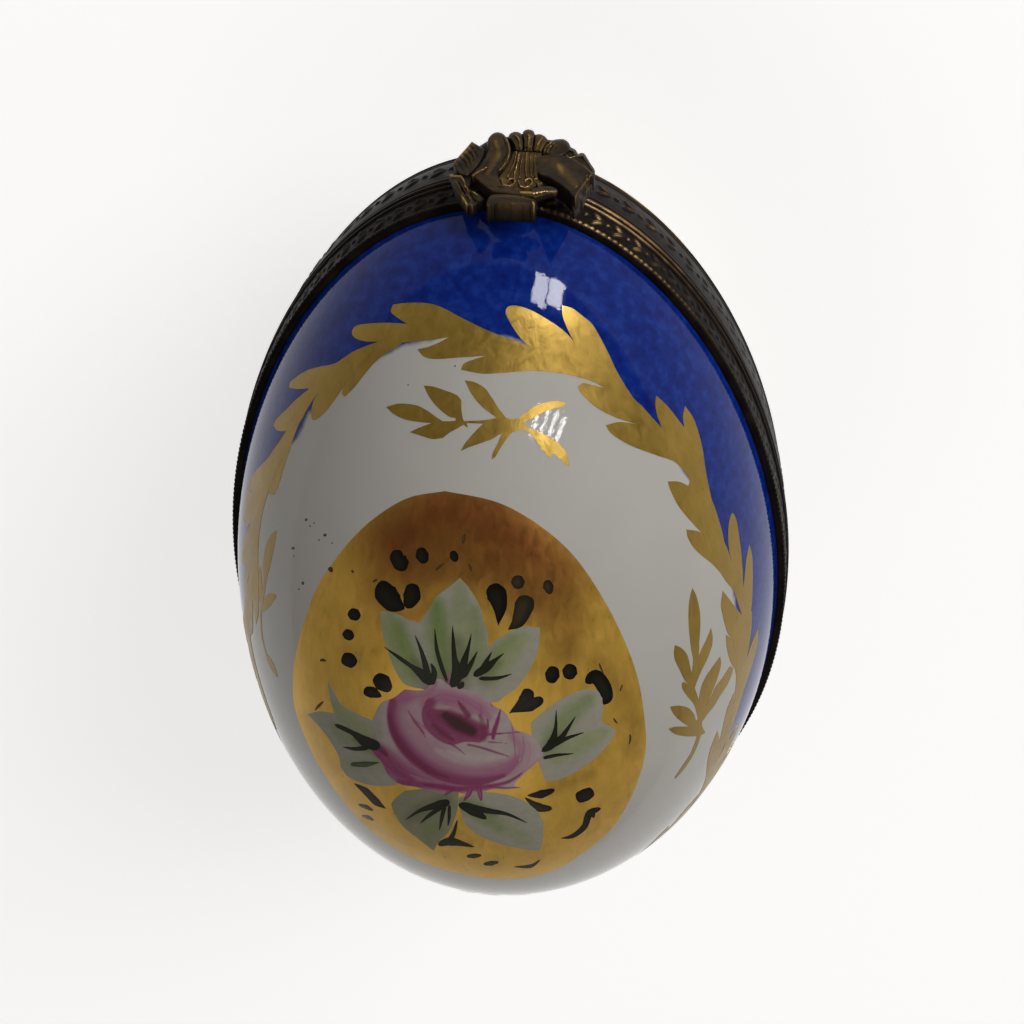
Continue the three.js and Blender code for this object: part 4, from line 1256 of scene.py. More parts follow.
# Veins, commas and dots: routes and half widths on the same sheet
VEINS = [
    ([(548, 778), (520, 752), (470, 715), (420, 680), (362, 638)], [18.5, 23.5, 8.5, 7, 1.5]),
    ([(532, 772), (518, 705), (500, 645), (478, 592)], [15.5, 11, 6, 1.5]),
    ([(542, 782), (552, 735), (540, 700)], [14, 11, 3]),
    ([(618, 792), (640, 742), (630, 682), (625, 622), (622, 556)], [17, 23.5, 10, 7, 1.5]),
    ([(652, 762), (667, 692), (682, 642), (694, 586)], [20.5, 13.5, 6, 1.5]),
    ([(660, 752), (692, 702), (718, 652)], [15.5, 8.5, 1.5]),
    ([(602, 772), (577, 702), (561, 642), (554, 566)], [7, 8, 7, 1.5]),
    ([(702, 748), (752, 716), (790, 684), (818, 662)], [14, 16.5, 6, 1.5]),
    ([(732, 732), (752, 692), (772, 656)], [13.5, 8, 1.5]),
    ([(722, 758), (790, 757), (848, 741)], [8, 7, 1.5]),
    ([(640, 790), (655, 785), (662, 770)], [11, 11, 6]),
    ([(345, 1020), (290, 1000), (240, 966), (172, 934)], [20.5, 21, 8.5, 8.5]),
    ([(300, 1022), (250, 1027), (203, 1020)], [11, 7, 1.5]),
    ([(962, 1037), (1000, 1007), (1015, 950), (1018, 876)], [8.5, 18.5, 7, 1.5]),
    ([(990, 1022), (1030, 992), (1060, 952), (1092, 902)], [13.5, 11.5, 7, 1.5]),
    ([(1000, 1017), (1060, 986), (1124, 964)], [10, 7, 1.5]),
    ([(968, 1062), (1020, 1051), (1084, 1045)], [7, 6, 1.5]),
    ([(612, 1230), (570, 1240), (500, 1262), (442, 1298)], [13.5, 15.5, 7, 1.5]),
    ([(592, 1240), (532, 1282), (498, 1312)], [10, 7, 1.5]),
    ([(592, 1240), (581, 1292), (572, 1338)], [10, 7, 1.5]),
    ([(610, 1242), (609, 1290), (604, 1322)], [6, 6, 1.5]),
    ([(645, 1238), (700, 1264), (752, 1294)], [10, 18.5, 7]),
    ([(652, 1234), (740, 1260), (830, 1276), (908, 1310)], [10, 11.5, 6, 1.5]),
    ([(640, 1300), (626, 1350), (604, 1384)], [3, 8, 10]),
    ([(566, 1392), (620, 1382), (704, 1402)], [9.5, 15.5, 1.5]),
]
GREEN_VEINS = [([(232, 1086), (290, 1086), (342, 1079)], [8, 11, 2])]
ROSE_TAILS = [
    ([(692, 1170), (684, 1198), (664, 1226)], [9, 10, 3]),
    ([(722, 1170), (727, 1198), (732, 1226)], [9, 10, 4]),
    ([(622, 1182), (604, 1194), (590, 1204)], [7, 6, 2]),
]
COMMAS = [
    ([(350, 385), (365, 430), (398, 470), (438, 492)], [20, 44, 38, 10]),
    ([(468, 395), (466, 445), (447, 490)], [22, 35, 16]),
    ([(420, 268), (412, 292), (428, 325), (440, 346)], [14, 30, 30, 12]),
    ([(500, 258), (506, 288), (518, 318)], [14, 26, 14]),
    ([(622, 270), (628, 292), (636, 312)], [10, 17, 9]),
    ([(762, 404), (790, 438), (802, 490), (796, 556)], [26, 40, 26, 2]),
    ([(226, 500), (246, 514), (266, 530)], [15, 24, 13]),
    ([(206, 578), (224, 592), (240, 608)], [14, 21, 12]),
    ([(198, 680), (226, 688), (250, 710)], [20, 28, 18]),
    ([(325, 748), (355, 775), (385, 806)], [20, 34, 14]),
    ([(282, 805), (315, 812), (350, 828)], [16, 22, 6]),
    ([(1010, 712), (1003, 745), (996, 776)], [18, 29, 16]),
    ([(1078, 704), (1070, 733), (1066, 762)], [18, 30, 16]),
    ([(1130, 775), (1168, 752), (1200, 790), (1212, 830), (1198, 858)], [16, 28, 28, 22, 8]),
    ([(914, 798), (898, 845), (838, 892)], [22, 28, 2]),
    ([(968, 836), (915, 862), (846, 888)], [16, 24, 2]),
    ([(908, 1206), (960, 1201), (1012, 1184)], [3, 16, 8]),
    ([(1094, 1218), (1128, 1204), (1160, 1188)], [20, 24, 18]),
    ([(1188, 1254), (1145, 1275), (1125, 1325), (1082, 1360), (1036, 1370)], [8, 14, 11, 8, 1.5]),
    ([(1150, 1262), (1158, 1278), (1160, 1292)], [8, 9, 3]),
]
GREY_COMMAS = [
    ([(902, 440), (896, 480), (872, 540), (834, 572)], [28, 38, 26, 3]),
    ([(872, 364), (872, 390), (876, 416)], [16, 27, 15]),
    ([(982, 382), (988, 408), (996, 436)], [12, 21, 9]),
    ([(898, 1214), (950, 1250), (1002, 1256)], [3, 17, 9]),
    ([(246, 1160), (290, 1190), (330, 1230), (366, 1256)], [3, 13, 14, 2]),
    ([(676, 1438), (705, 1437), (732, 1434)], [5, 9, 4]),
    ([(740, 1468), (770, 1465), (798, 1460)], [5, 9, 4]),
    ([(858, 1479), (920, 1476), (957, 1452)], [1.5, 7, 2]),
]
FAINT_DASHES = [
    ([(262, 1240), (292, 1250), (318, 1264)], [4, 8, 4]),
    ([(274, 1282), (300, 1290), (320, 1302)], [3, 7, 3]),
    ([(150, 334), (156, 342), (160, 352)], [6, 9, 5]),
    ([(115, 690), (126, 688), (138, 692)], [4, 6, 3]),
    ([(668, 206), (664, 225), (662, 244)], [4, 8, 3]),
    ([(556, 345), (572, 332), (590, 318)], [3, 6, 2]),
    ([(684, 320), (690, 336), (694, 350)], [3, 5, 2]),
    ([(1182, 700), (1188, 718), (1198, 738)], [3, 4, 2]),
    ([(1300, 972), (1301, 990), (1297, 1010)], [3, 4, 2]),
    ([(1262, 808), (1266, 795), (1272, 782)], [2, 3, 1.5]),
    ([(1236, 910), (1244, 922), (1252, 930)], [2, 4, 2]),
    ([(96, 880), (112, 862), (128, 846)], [3, 6, 3]),
    ([(236, 345), (240, 350), (243, 356)], [3, 4, 2]),
    ([(318, 390), (326, 384), (334, 380)], [3, 5, 3]),
]
STROKE_POINTS = 26
STROKE_ACROSS = 5
STROKE_LAYER = 0.0004  # each stroke over the one before


def lay_strokes(sheets, marks, top, colour, light):
    """Separate tapered strokes whose paint thins to the light colour in the middle."""
    place = np.linspace(0, 1, STROKE_POINTS)
    taper = np.sqrt(np.clip(1 - (2 * place - 1) ** 8, 0.02, 1))
    across = np.exp(-(((np.linspace(-1, 1, STROKE_ACROSS)[None] - 0.2) / 0.6) ** 2))
    thin = across * np.sin(math.pi * place)[:, None]
    laid = np.array(colour) + (np.array(light) - np.array(colour)) * thin[..., None]
    for number, (route, widths) in enumerate(marks):
        path = PAINTING_ORIGIN + smooth_path(route, STROKE_POINTS) / PAINTING_SCALE
        spread = even_widths(widths, STROKE_POINTS) * taper / PAINTING_SCALE
        sheets.add(ribbon(path, spread, STROKE_ACROSS), top + STROKE_LAYER * number, colours=laid)


# Marks, their height over the glaze, their colour, and their colour where the paint is thin
for marks, top, colour, light in (
    (VEINS, 0.036, VEIN, (0.022, 0.023, 0.013)),
    (GREEN_VEINS, 0.036, (0.05, 0.07, 0.03), (0.08, 0.11, 0.05)),
    (ROSE_TAILS, 0.037, MAGENTA, ROSE),
    (COMMAS, 0.022, INK, (0.018, 0.016, 0.010)),
    (GREY_COMMAS, 0.022, (0.02, 0.017, 0.010), (0.05, 0.038, 0.02)),
    (FAINT_DASHES, 0.02, (0.07, 0.035, 0.015), (0.12, 0.06, 0.025)),
):
    lay_strokes(painting, marks, top, colour, light)
painting.build("lid_painting", PAINT, "lid")

# Gold medallion under the painting
MEDALLION = [[
    (490, 500), (520, 513), (552, 535), (578, 561), (604, 600), (625, 642), (638, 679), (644, 715),
    (646, 742), (642, 768), (630, 799), (612, 828), (585, 851), (554, 870), (515, 879), (473, 876),
    (436, 867), (400, 851), (368, 828), (342, 799), (321, 768), (306, 739), (295, 708), (293, 684),
    (295, 658), (303, 626), (316, 590), (332, 564), (353, 538), (376, 517), (408, 498), (445, 491),
]]
GOLD_YELLOW = (0.80, 0.48, 0.088)
GOLD_DARK_REFLECTION = (0.24, 0.074, 0.021)
# The first five strokes paint a darker reflection over the top of the gold, brown fading into the yellow
# ground down the sides; the last four are darker streaks near its edge
GOLD_STROKES = [
    ([(400, 230), (600, 130), (820, 190), (1000, 360)], [270, 310, 330, 240], GOLD_DARK_REFLECTION, 0.95, 1.0),
    ([(480, 340), (700, 330), (900, 420)], [200, 230, 210], GOLD_DARK_REFLECTION, 0.7, 1.0),
    ([(330, 420), (420, 520), (560, 480)], [120, 110, 90], (0.42, 0.19, 0.04), 0.7, 1.0),
    ([(960, 420), (1040, 520), (1060, 640)], [190, 180, 120], (0.40, 0.19, 0.04), 0.75, 1.0),
    ([(480, 110), (620, 70), (800, 110)], [40, 45, 30], (0.34, 0.12, 0.03), 0.7, 1.0, 0.3),
    ([(1180, 700), (1290, 860), (1310, 1040)], [60, 70, 60], (0.44, 0.25, 0.05), 0.6, 1.0, 0.3),
    ([(1000, 1180), (1080, 1150), (1160, 1120)], [40, 45, 30], (0.36, 0.2, 0.045), 0.5, 1.0, 0.4),
    ([(200, 1180), (300, 1320), (460, 1420)], [50, 50, 40], (0.44, 0.29, 0.08), 0.5, 1.0, 0.4),
    ([(60, 900), (100, 1000), (170, 1120)], [40, 50, 40], (0.42, 0.26, 0.06), 0.5, 1.0, 0.3),
]
MEDALLION_SPACING = 5.0
MEDALLION_TOP = 0.012
medallion = Sheets(drawn)
medallion.fill(outline(MEDALLION), MEDALLION_SPACING, MEDALLION_TOP, paint=painter(GOLD_YELLOW, GOLD_STROKES))
medallion.build("lid_medallion", MEDALLION_GOLD, "lid")

# Stray specks on the white
SPECKS = [
    (306, 520), (310, 526), (314, 523), (325, 535), (319, 540), (332, 543), (293, 548), (294, 556),
    (299, 589), (303, 583), (455, 366), (408, 385),
]
SPECK_RADII = (1.5, 0.8, 0.8)
SPECK_CORNERS = 8
SPECK_POINTS = 12
SPECK_TOP = 0.01
SPECK_COLOUR = (0.12, 0.10, 0.05)
specks = Sheets(drawn)
for number, (u, v) in enumerate(SPECKS):
    radius = SPECK_RADII[number % len(SPECK_RADII)]
    loop = [
        (u + radius * math.cos(t) * rng.uniform(0.6, 1.3), v + radius * math.sin(t) * rng.uniform(0.7, 1.5))
        for t in np.linspace(0, 2 * math.pi, SPECK_CORNERS + 1)[:-1]
    ]
    colours = np.tile(SPECK_COLOUR, (2 * SPECK_POINTS, 1))
    specks.add(speck_rings(loop, (u, v), SPECK_POINTS), SPECK_TOP, wrap=True, colours=colours)
specks.build("lid_specks", PAINT, "lid")

# Clasp: cast work drawn on an enlarged sheet and carried to planes in front of the bezels, with depths
CLASP_Y = -35.986
STANDOFF = 0.62
# Painted shade on the back of each cast piece, darkening the foot of its sides
BACK_SHADE = -0.3
CAST_STEP = 0.8
CAST_SHARP = 60  # degrees at which an edge stays sharp
MARK_SOFTNESS = 0.9
DEPTH_BLUR = 400  # square of the width over which depths blend
CLASP_ORIGIN = np.array([430.0, 115.0])
CLASP_SCALE = 8.2526


def clasp_face(points, depth):
    """Drawing points carried to their depths in front of the clasp's plane, and set back onto it."""
    ray = sight(points)
    spots = EYE + ray * ((CLASP_Y - depth - EYE[1]) / ray[..., 1])[..., None]
    spots[..., 1] = CLASP_Y
    return spots, np.broadcast_to([0.0, -1.0, 0.0], spots.shape)


def cast(sheets, runs, depths, marks=(), rounding=(20, 0.3), back=STANDOFF, worn_and_shading=0.1, spacing=0.8):
    """A piece of cast work inside a drawn outline: depths at some of its points, marks with half widths, rise
    and scuffing, which paints highlights where it runs high and shade in grooves below zero, and edges
    rounded over a width by a drop."""
    loop = outline(runs, CLASP_ORIGIN, CLASP_SCALE, CAST_STEP)
    places = np.array([place for place, _ in depths], float)
    values = np.array([value for _, value in depths])

    def relief(flat):
        points = (flat - CLASP_ORIGIN) * CLASP_SCALE
        weights = 1 / (((points[:, None] - places) ** 2).sum(-1) + DEPTH_BLUR) ** 1.5
        depth = (weights * values).sum(1) / weights.sum(1)
        wear_and_shading = np.full(len(points), worn_and_shading)
        for route, half_widths, rise, rub_and_shading in marks:
            cover = coverage(points, route, half_widths, MARK_SOFTNESS)
            depth += rise * cover
            wear_and_shading += rub_and_shading * cover
        near = np.clip(edge_distance(flat, loop) * CLASP_SCALE / rounding[0], 0, 1)
        depth -= rounding[1] * (1 - np.sqrt(1 - (1 - near) ** 2))
        return depth, wear_and_shading

    def depth_at(flat):
        return relief(flat)[0]

    def wear_and_shading_at(flat):
        return np.repeat(relief(flat)[1][:, None], 3, 1)

    def face_at(flat):
        return clasp_face(flat, depth_at(flat))

    sheets.fill(loop, spacing, depth_at, -back, wear_and_shading_at, face_at, BACK_SHADE)


clasp = Sheets(None)
# Back plate
cast(clasp, [[
    (700, 170), (820, 150), (960, 200), (1130, 240), (1300, 420), (1240, 560), (1060, 560), (960, 600),
    (760, 640), (520, 620), (380, 520), (300, 640), (210, 560), (250, 400), (360, 290), (500, 200),
]], [((700, 400), 0.95)], spacing=2.0, worn_and_shading=0.0)
# Fan: its ribs carry painted highlights and its grooves painted shade, and its base level is raised to
# lighten it against the shade of its recess
cast(clasp, [
    [(660, 155), (700, 138), (740, 145), (762, 166)],
    [(772, 134), (810, 118), (850, 130), (868, 162)],
    [(910, 158), (952, 180), (980, 216)],
    [(955, 262), (925, 318)],
    [(850, 322), (760, 316), (690, 306)],
    [(668, 240), (642, 190)],
], [((700, 150), 1.62), ((810, 130), 1.68), ((920, 175), 1.62), ((800, 230), 1.42), ((800, 310), 1.1)], [
    ([(762, 166), (772, 220), (768, 300)], [7, 9, 6], -0.3, -0.1),
    ([(868, 162), (858, 220), (848, 300)], [7, 9, 6], -0.3, -0.1),
    ([(705, 165), (735, 205), (742, 290)], [9, 10, 6], 0.14, 0.75),
    ([(815, 165), (815, 220), (806, 290)], [9, 11, 6], 0.14, 0.85),
    ([(925, 190), (895, 235), (880, 290)], [8, 9, 6], 0.14, 0.6),
    ([(668, 190), (700, 240), (716, 290)], [7, 8, 5], 0.1, 0.3),
    ([(690, 298), (800, 304), (920, 308)], [8, 9, 8], -0.2, 0.0),
], rounding=(34, 0.45), worn_and_shading=0.24)
# Strings and volutes, with highlights painted along the strings and volutes and a base level raised to
# lighten the recessed panel against its shade
cast(clasp, [
    [(800, 306), (930, 310)],
    [(900, 420), (890, 520), (930, 560)],
    [(800, 620), (640, 610), (560, 520)],
    [(630, 420), (690, 300)],
], [((800, 320), 1.3), ((760, 480), 1.35), ((760, 590), 1.5)], [
    ([(716, 306), (690, 410), (640, 510)], [7, 9, 9], 0.22, 0.45),
    ([(742, 306), (716, 420), (694, 530)], [8, 10, 9], 0.22, 0.85),
    ([(772, 306), (750, 420), (742, 520)], [7, 9, 8], 0.2, 0.35),
    ([(802, 308), (790, 420), (796, 510)], [8, 11, 9], 0.22, 0.8),
    ([(836, 308), (828, 420), (838, 510)], [7, 9, 8], 0.2, 0.35),
    ([(872, 310), (862, 420), (868, 510)], [7, 9, 8], 0.2, 0.2),
    ([(590, 530), (600, 570), (655, 585), (700, 560), (690, 528), (655, 530), (650, 556)],
     [9, 12, 12, 12, 10, 8, 5], 0.22, 0.45),
    ([(730, 540), (745, 585), (800, 595), (840, 565), (836, 530), (800, 528), (790, 556)],
     [9, 12, 12, 12, 10, 8, 5], 0.22, 0.6),
    ([(860, 530), (900, 525), (930, 550), (900, 575), (880, 556)], [8, 11, 10, 9, 5], 0.2, 0.55),
], rounding=(10, 0.1), worn_and_shading=0.36)
# Left lobe and arm, flowing into the base of the lyre, with highlight lines painted along the rim and left
# edge, a painted sheen on the arm and a bright lip painted on the ledge
cast(clasp, [
    [(470, 240), (485, 188), (520, 152), (560, 142), (602, 155), (638, 195), (662, 250), (670, 305),
     (656, 362), (625, 415), (565, 470)],
    [(585, 540), (680, 605), (800, 622), (890, 606)],
    [(880, 690)],
    [(760, 680), (640, 662), (520, 645), (440, 592), (380, 540), (342, 512)],
    [(346, 486), (400, 420), (450, 350), (474, 300)],
], [
    ((520, 170), 1.95), ((600, 240), 1.85), ((500, 330), 1.6), ((560, 420), 1.55), ((420, 480), 1.45),
    ((520, 560), 1.55), ((680, 640), 1.8), ((830, 665), 2.0),
], [
    ([(628, 190), (654, 260), (652, 345), (616, 408), (570, 462)], [8, 10, 10, 9, 7], 0.13, 0.75),
    ([(600, 185), (626, 260), (622, 335), (590, 395)], [8, 12, 12, 8], -0.1, 0.1),
    ([(540, 220), (560, 310), (520, 400), (470, 480)], [26, 40, 44, 30], 0.06, 0.28),
    ([(352, 500), (400, 468), (470, 434)], [9, 10, 7], 0.12, 1.0),
    ([(560, 600), (680, 618), (800, 632)], [16, 20, 14], -0.12, 0.1),
    ([(750, 636), (820, 640), (905, 652)], [10, 15, 9], 0.1, 1.3),
    ([(760, 672), (800, 682), (845, 686)], [6, 8, 6], 0.05, 1.0),
], rounding=(30, 0.42), back=0.7, worn_and_shading=0.14)
# The ledge's right end, with a highlight painted along its edge
cast(clasp, [
    [(930, 590), (1000, 590), (1050, 615), (1055, 640)],
    [(960, 662), (850, 690)],
    [(840, 650), (830, 612)],
], [((860, 660), 1.97), ((1030, 630), 1.9)], [
    ([(850, 646), (920, 634), (990, 630), (1045, 630)], [9, 8, 8, 6], 0.08, 0.9),
], rounding=(14, 0.2), back=1.5, worn_and_shading=0.14)
# Right lobe with its ridges, their bright lines painted as highlights
cast(clasp, [
    [(935, 280), (960, 240), (1000, 212), (1050, 200), (1105, 200), (1142, 226), (1160, 264), (1172, 300)],
    [(1100, 345), (1000, 350), (925, 320)],
], [((1080, 215), 1.75), ((960, 300), 1.55), ((1080, 320), 1.6)], [
    ([(942, 305), (958, 262), (1005, 226)], [6, 8, 5], 0.12, 0.95),
    ([(968, 310), (984, 268), (1030, 232)], [6, 8, 5], 0.12, 0.75),
    ([(1000, 312), (1012, 276), (1050, 242)], [6, 7, 5], 0.08, 0.4),
], rounding=(36, 0.5))
# Shoulder with its curls, the curls lit by painted highlights
cast(clasp, [
    [(1150, 272), (1185, 276), (1208, 296), (1222, 328)],
    [(1240, 314), (1270, 316), (1292, 345), (1325, 400), (1358, 452), (1362, 492)],
    [(1300, 500), (1200, 430), (1108, 330)],
], [((1160, 290), 1.5), ((1270, 330), 1.3), ((1350, 470), 1.15)], [
    ([(1116, 312), (1132, 342), (1165, 352), (1200, 340)], [7, 10, 9, 6], 0.16, 1.0),
    ([(1150, 290), (1180, 300), (1196, 322)], [7, 9, 6], 0.12, 0.4),
    ([(1228, 340), (1262, 340), (1280, 370)], [7, 9, 6], 0.12, 0.5),
    ([(1290, 390), (1320, 420), (1340, 460)], [6, 8, 6], 0.1, 0.3),
], rounding=(24, 0.4))
# Folded block at the right: its face, and the edge that turns back, with a highlight painted along the fold
# and a sheen painted over the face
cast(clasp, [
    [(960, 322), (1050, 318), (1150, 345), (1250, 402), (1342, 476)],
    [(1362, 486), (1352, 560), (1300, 655), (1240, 745), (1200, 806), (1180, 812)],
    [(1172, 760), (1186, 690)],
    [(1130, 622), (1060, 568), (980, 520), (920, 500), (872, 470)],
    [(866, 400), (880, 345)],
], [
    ((900, 400), 1.35), ((1050, 350), 1.6), ((1250, 430), 1.78), ((1040, 500), 1.75), ((1150, 600), 1.92),
    ((1220, 560), 1.92), ((1200, 670), 1.95), ((1330, 490), 1.7), ((1345, 560), 1.0), ((1290, 660), 1.0),
    ((1230, 740), 1.05), ((1190, 800), 1.1),
], [
    ([(1332, 490), (1255, 590), (1205, 668), (1192, 760)], [6, 8, 8, 6], 0.05, 0.6),
    ([(1065, 420), (1120, 490), (1200, 575)], [40, 66, 40], 0.05, 0.34),
    ([(960, 360), (1040, 400), (1080, 470)], [50, 60, 40], 0.0, 0.15),
    ([(1300, 500), (1240, 575)], [6, 5], -0.04, 0.0),
], rounding=(16, 0.2), back=0.5)
# Horn and the crinkled foliage at the left: an orange sheen painted along the horn, with its grooves in
# painted shade and its ribs lighter
cast(clasp, [
    [(400, 252), (462, 292)],
    [(440, 350), (400, 415), (340, 480), (300, 500), (240, 486)],
    [(205, 445), (190, 402), (216, 366), (290, 284), (345, 220)],
], [((345, 240), 1.5), ((210, 400), 1.35), ((430, 320), 1.2), ((320, 460), 1.2)], [
    ([(338, 238), (270, 310), (205, 395)], [40, 46, 36], 0.05, 0.42),
    ([(330, 250), (372, 300), (390, 350)], [5, 6, 4], -0.06, -0.2),
    ([(302, 282), (346, 330), (364, 384)], [5, 6, 4], -0.06, -0.2),
    ([(274, 314), (316, 360), (334, 412)], [5, 6, 4], -0.06, -0.2),
    ([(246, 346), (288, 392), (306, 440)], [5, 6, 4], -0.06, -0.2),
    ([(220, 380), (258, 424), (276, 466)], [5, 6, 4], -0.06, -0.2),
    ([(316, 266), (360, 314), (378, 366)], [6, 7, 4], 0.04, 0.2),
    ([(288, 298), (330, 346), (348, 398)], [6, 7, 4], 0.04, 0.2),
    ([(260, 330), (302, 376), (320, 426)], [6, 7, 4], 0.04, 0.2),
], rounding=(16, 0.2))
# Foliage, with bead-like highlights painted on its curls and painted shade in its hollows
cast(clasp, [
    [(200, 484), (256, 494), (286, 540), (300, 590), (350, 622), (400, 650), (448, 690)],
    [(420, 720), (372, 752), (330, 770), (296, 745), (260, 690), (215, 640), (190, 580), (155, 492)],
], [((170, 500), 1.1), ((280, 560), 1.4), ((300, 700), 1.25), ((420, 690), 1.2)], [
    ([(166, 496), (210, 504), (250, 506)], [8, 10, 7], 0.16, 0.95),
    ([(255, 506), (282, 545), (292, 585)], [9, 13, 8], 0.18, 0.8),
    ([(290, 590), (306, 606), (312, 630)], [8, 11, 7], 0.16, 1.1),
    ([(200, 540), (236, 580), (252, 630)], [8, 12, 7], 0.14, 0.4),
    ([(240, 560), (262, 610), (290, 650)], [7, 10, 7], -0.16, -0.1),
    ([(350, 632), (372, 646), (388, 664)], [7, 12, 7], 0.16, 1.1),
    ([(300, 660), (330, 690), (340, 730)], [8, 12, 8], 0.16, 0.5),
    ([(262, 670), (288, 705), (306, 744)], [8, 11, 9], 0.14, 0.9),
    ([(330, 735), (345, 748), (352, 756)], [7, 9, 6], 0.12, 1.1),
    ([(380, 690), (400, 705), (410, 724)], [7, 10, 6], 0.12, 0.35),
    ([(330, 640), (350, 680), (376, 720)], [6, 9, 6], -0.14, -0.1),
], rounding=(14, 0.25), back=0.5)
clasp.build(
    "clasp_work", CLASP_BRONZE, "lid", ["clasp_motif"], layer="wear_and_shading", sharp=CAST_SHARP
)

# Thumb tab, with a highlight painted as a bright spot at its corner and a light sheen painted along its edges
tab = Sheets(None)
cast(tab, [
    [(486, 676), (525, 656), (640, 655), (760, 668), (862, 694)],
    [(876, 712), (872, 752)],
    [(760, 742), (620, 736), (520, 744), (470, 758)],
    [(464, 735), (470, 712)],
], [((490, 690), 1.78), ((640, 690), 1.86), ((850, 715), 1.9), ((660, 735), 1.92)], [
    ([(500, 676), (640, 668), (780, 684), (850, 704)], [9, 12, 12, 9], 0.02, 0.25),
    ([(848, 716), (856, 732), (858, 746)], [8, 12, 8], 0.03, 1.2),
    ([(480, 748), (620, 730), (760, 736), (860, 748)], [7, 9, 9, 7], 0.02, 0.3),
], rounding=(12, 0.12), back=0.5)
tab.build(
    "thumb_tab", CLASP_BRONZE, "lid", ["clasp_thumb_tab"], layer="wear_and_shading", sharp=CAST_SHARP
)

# Hinge, tongue and stud keep the solids' own shape, with softened edges
SOFT_EDGE = 0.08 * MM
SOFT_EDGE_LIMIT = math.radians(40)
SOLID_SHARP = math.radians(32)
for name in (
    "base_hinge_leaf", "lid_hinge_leaf", "base_knuckle_left", "base_knuckle_right", "lid_knuckle",
    "hinge_pin", "clasp_tongue", "catch_stud",
):
    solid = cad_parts[name]
    solid.data.materials.clear()
    solid.data.materials.append(CLASP_BRONZE)
    solid.data.polygons.foreach_set("use_smooth", [True] * len(solid.data.polygons))
    solid.data.set_sharp_from_angle(angle=SOLID_SHARP)
    soften = solid.modifiers.new("soften", "BEVEL")
    soften.width = SOFT_EDGE
    soften.segments = 2
    soften.limit_method = "ANGLE"
    soften.angle_limit = SOFT_EDGE_LIMIT

# A bead of solder from each knuckle to its own leaf
HINGE_Y = 32.714
BEAD_INSIDE = 1.24
BEAD_OUTSIDE = 1.66
BEAD_TURNS = np.radians(np.linspace(58, 14, 12))
LID_KNUCKLE_END = 2.1
BASE_KNUCKLE_ENDS = (2.6, 6.2)


def solder(name, first, last, body, side):
    """A ring sector between knuckle and leaf that runs along the hinge from first to last."""
    arc = np.stack([-np.cos(BEAD_TURNS), np.sin(BEAD_TURNS)], 1)
    section = np.concatenate([BEAD_OUTSIDE * arc, BEAD_INSIDE * arc[::-1]]) + (HINGE_Y, 0)
    count = len(section)
    verts, faces = loft([np.column_stack([np.full(count, x), section]) for x in (first, last)])
    for i in range(len(arc) - 1):
        cap = (i, i + 1, count - 2 - i, count - 1 - i)
        faces += [tuple(count + corner for corner in cap), cap[::-1]]
    make_object(name, verts, faces, CLASP_BRONZE, body, side=side, sharp=CAST_SHARP)


solder("lid_knuckle_solder", -LID_KNUCKLE_END, LID_KNUCKLE_END, "lid", 1)
solder("base_knuckle_solder_left", -BASE_KNUCKLE_ENDS[1], -BASE_KNUCKLE_ENDS[0], "base", -1)
solder("base_knuckle_solder_right", *BASE_KNUCKLE_ENDS, "base", -1)

# Floor, light and camera
FLOOR_GLOW = 0.62  # seen straight, mirrored or through glass, and lighting nothing
bpy.ops.mesh.primitive_plane_add(size=6)
floor = bpy.context.object
floor.name = "floor"
ground, tree, shader = new_material("floor_white", Roughness=0.9)
shader.inputs["Base Color"].default_value = (0.8, 0.8, 0.8, 1)
shader.inputs["Specular IOR Level"].default_value = 0.0
path = node(tree, "LightPath").outputs
seen = maths(tree, "MAXIMUM", path["Is Camera Ray"], path["Is Glossy Ray"])
seen = maths(tree, "MAXIMUM", seen, path["Is Transmission Ray"])
shader.inputs["Emission Color"].default_value = (1, 1, 1, 1)
tree.links.new(maths(tree, "MULTIPLY", seen, FLOOR_GLOW), shader.inputs["Emission Strength"])
floor.data.materials.append(ground)

# The world dims from near the horizon to near the zenith
SKY_HEIGHTS = (0.1, 0.95)
SKY_STRENGTHS = (0.28, 0.12)
world = bpy.data.worlds.new("studio")
bpy.context.scene.world = world
world.use_nodes = True
tree = world.node_tree
sky = tree.nodes["Background"]
sky.inputs["Color"].default_value = (1.0, 0.97, 0.92, 1)
upward = node(tree, "SeparateXYZ", {"Vector": node(tree, "TexCoord").outputs["Generated"]}).outputs["Z"]
tree.links.new(span(tree, upward, *SKY_HEIGHTS, *SKY_STRENGTHS), sky.inputs["Strength"])


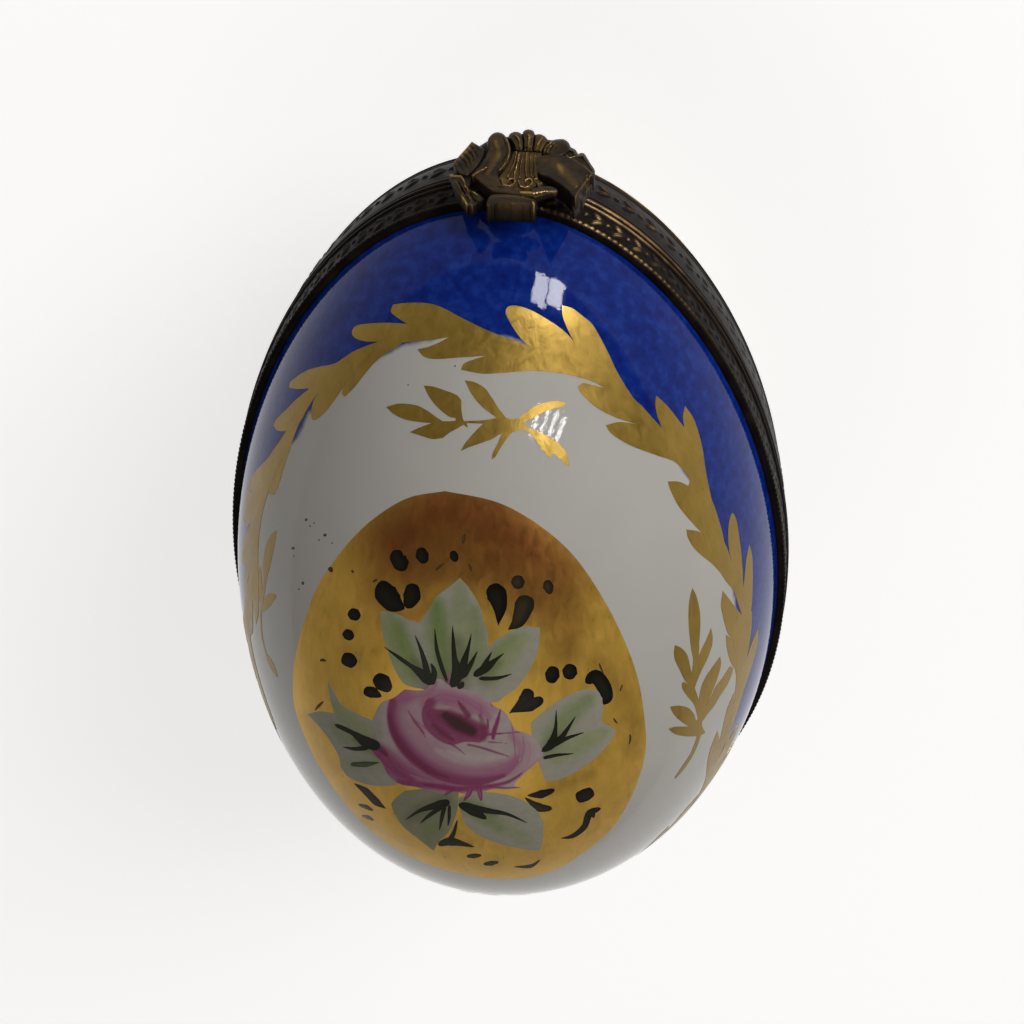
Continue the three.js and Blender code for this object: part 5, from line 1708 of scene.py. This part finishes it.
def area_light(name, place, size, watts, colour=(1, 1, 1), target=(0, 0, 0.02)):
    lamp = bpy.data.lights.new(name, "AREA")
    lamp.shape = "RECTANGLE"
    lamp.size, lamp.size_y = size
    lamp.energy = watts
    lamp.color = colour
    made = bpy.data.objects.new(name, lamp)
    made.location = place
    made.rotation_euler = (Vector(target) - Vector(place)).to_track_quat("-Z", "Y").to_euler()
    bpy.context.scene.collection.objects.link(made)
    return made


def glint(name, point, size, radiance, distance=0.45):
    """A window pane placed so that the glaze mirrors it to the eye at a drawing point, and only mirrored."""
    spots, normals = drawn([point])
    look = (spots[0] - EYE) / np.linalg.norm(spots[0] - EYE)
    mirrored = look - 2 * (look @ normals[0]) * normals[0]
    start = (spots[0] + (0, 0, SEAM_HEIGHT)) * MM
    place = start + mirrored * distance
    watts = radiance * math.pi * size[0] * size[1]
    area_light(name, place.tolist(), size, watts, target=start.tolist()).visible_diffuse = False


key = area_light("key", place=(-0.54, -0.63, 0.38), size=(0.5, 0.5), watts=4.3, colour=(1.0, 0.985, 0.95))
key.visible_glossy = False
area_light("panel", place=(0.09, 0.34, 0.52), size=(0.6, 0.35), watts=0.42, colour=(1.0, 0.96, 0.88))
glint("window_left", (540, 289), size=(0.062, 0.115), radiance=60)
glint("window_right", (556, 293), size=(0.06, 0.1), radiance=66)
glint("window_low", (592, 352), size=(0.05, 0.06), radiance=10)
SLATS = 4
SLAT_START = np.array([536, 420])
SLAT_STEP = np.array([8, 3.5])
for number in range(SLATS):
    glint(f"slat_{number}", SLAT_START + SLAT_STEP * number, size=(0.012, 0.08), radiance=80)

lens = bpy.data.cameras.new("camera")
lens.sensor_width = SENSOR
lens.lens = DRAWING_SCALE * VIEW_DISTANCE / IMAGE_SIZE * SENSOR
lens.shift_x = (IMAGE_SIZE / 2 - DRAWING_CENTRE[0]) / IMAGE_SIZE
lens.shift_y = (DRAWING_CENTRE[1] - IMAGE_SIZE / 2) / IMAGE_SIZE
lens.clip_start = 0.01
camera = bpy.data.objects.new("camera", lens)
bpy.context.scene.collection.objects.link(camera)
turn = Matrix(np.stack([RIGHT, UP, BACK], 1).tolist()).to_4x4()
spot = (EYE + (0, 0, SEAM_HEIGHT)) * MM
camera.matrix_world = Matrix.Translation(Vector(spot.tolist())) @ turn
bpy.context.scene.camera = camera
bpy.context.scene.view_settings.view_transform = "Standard"
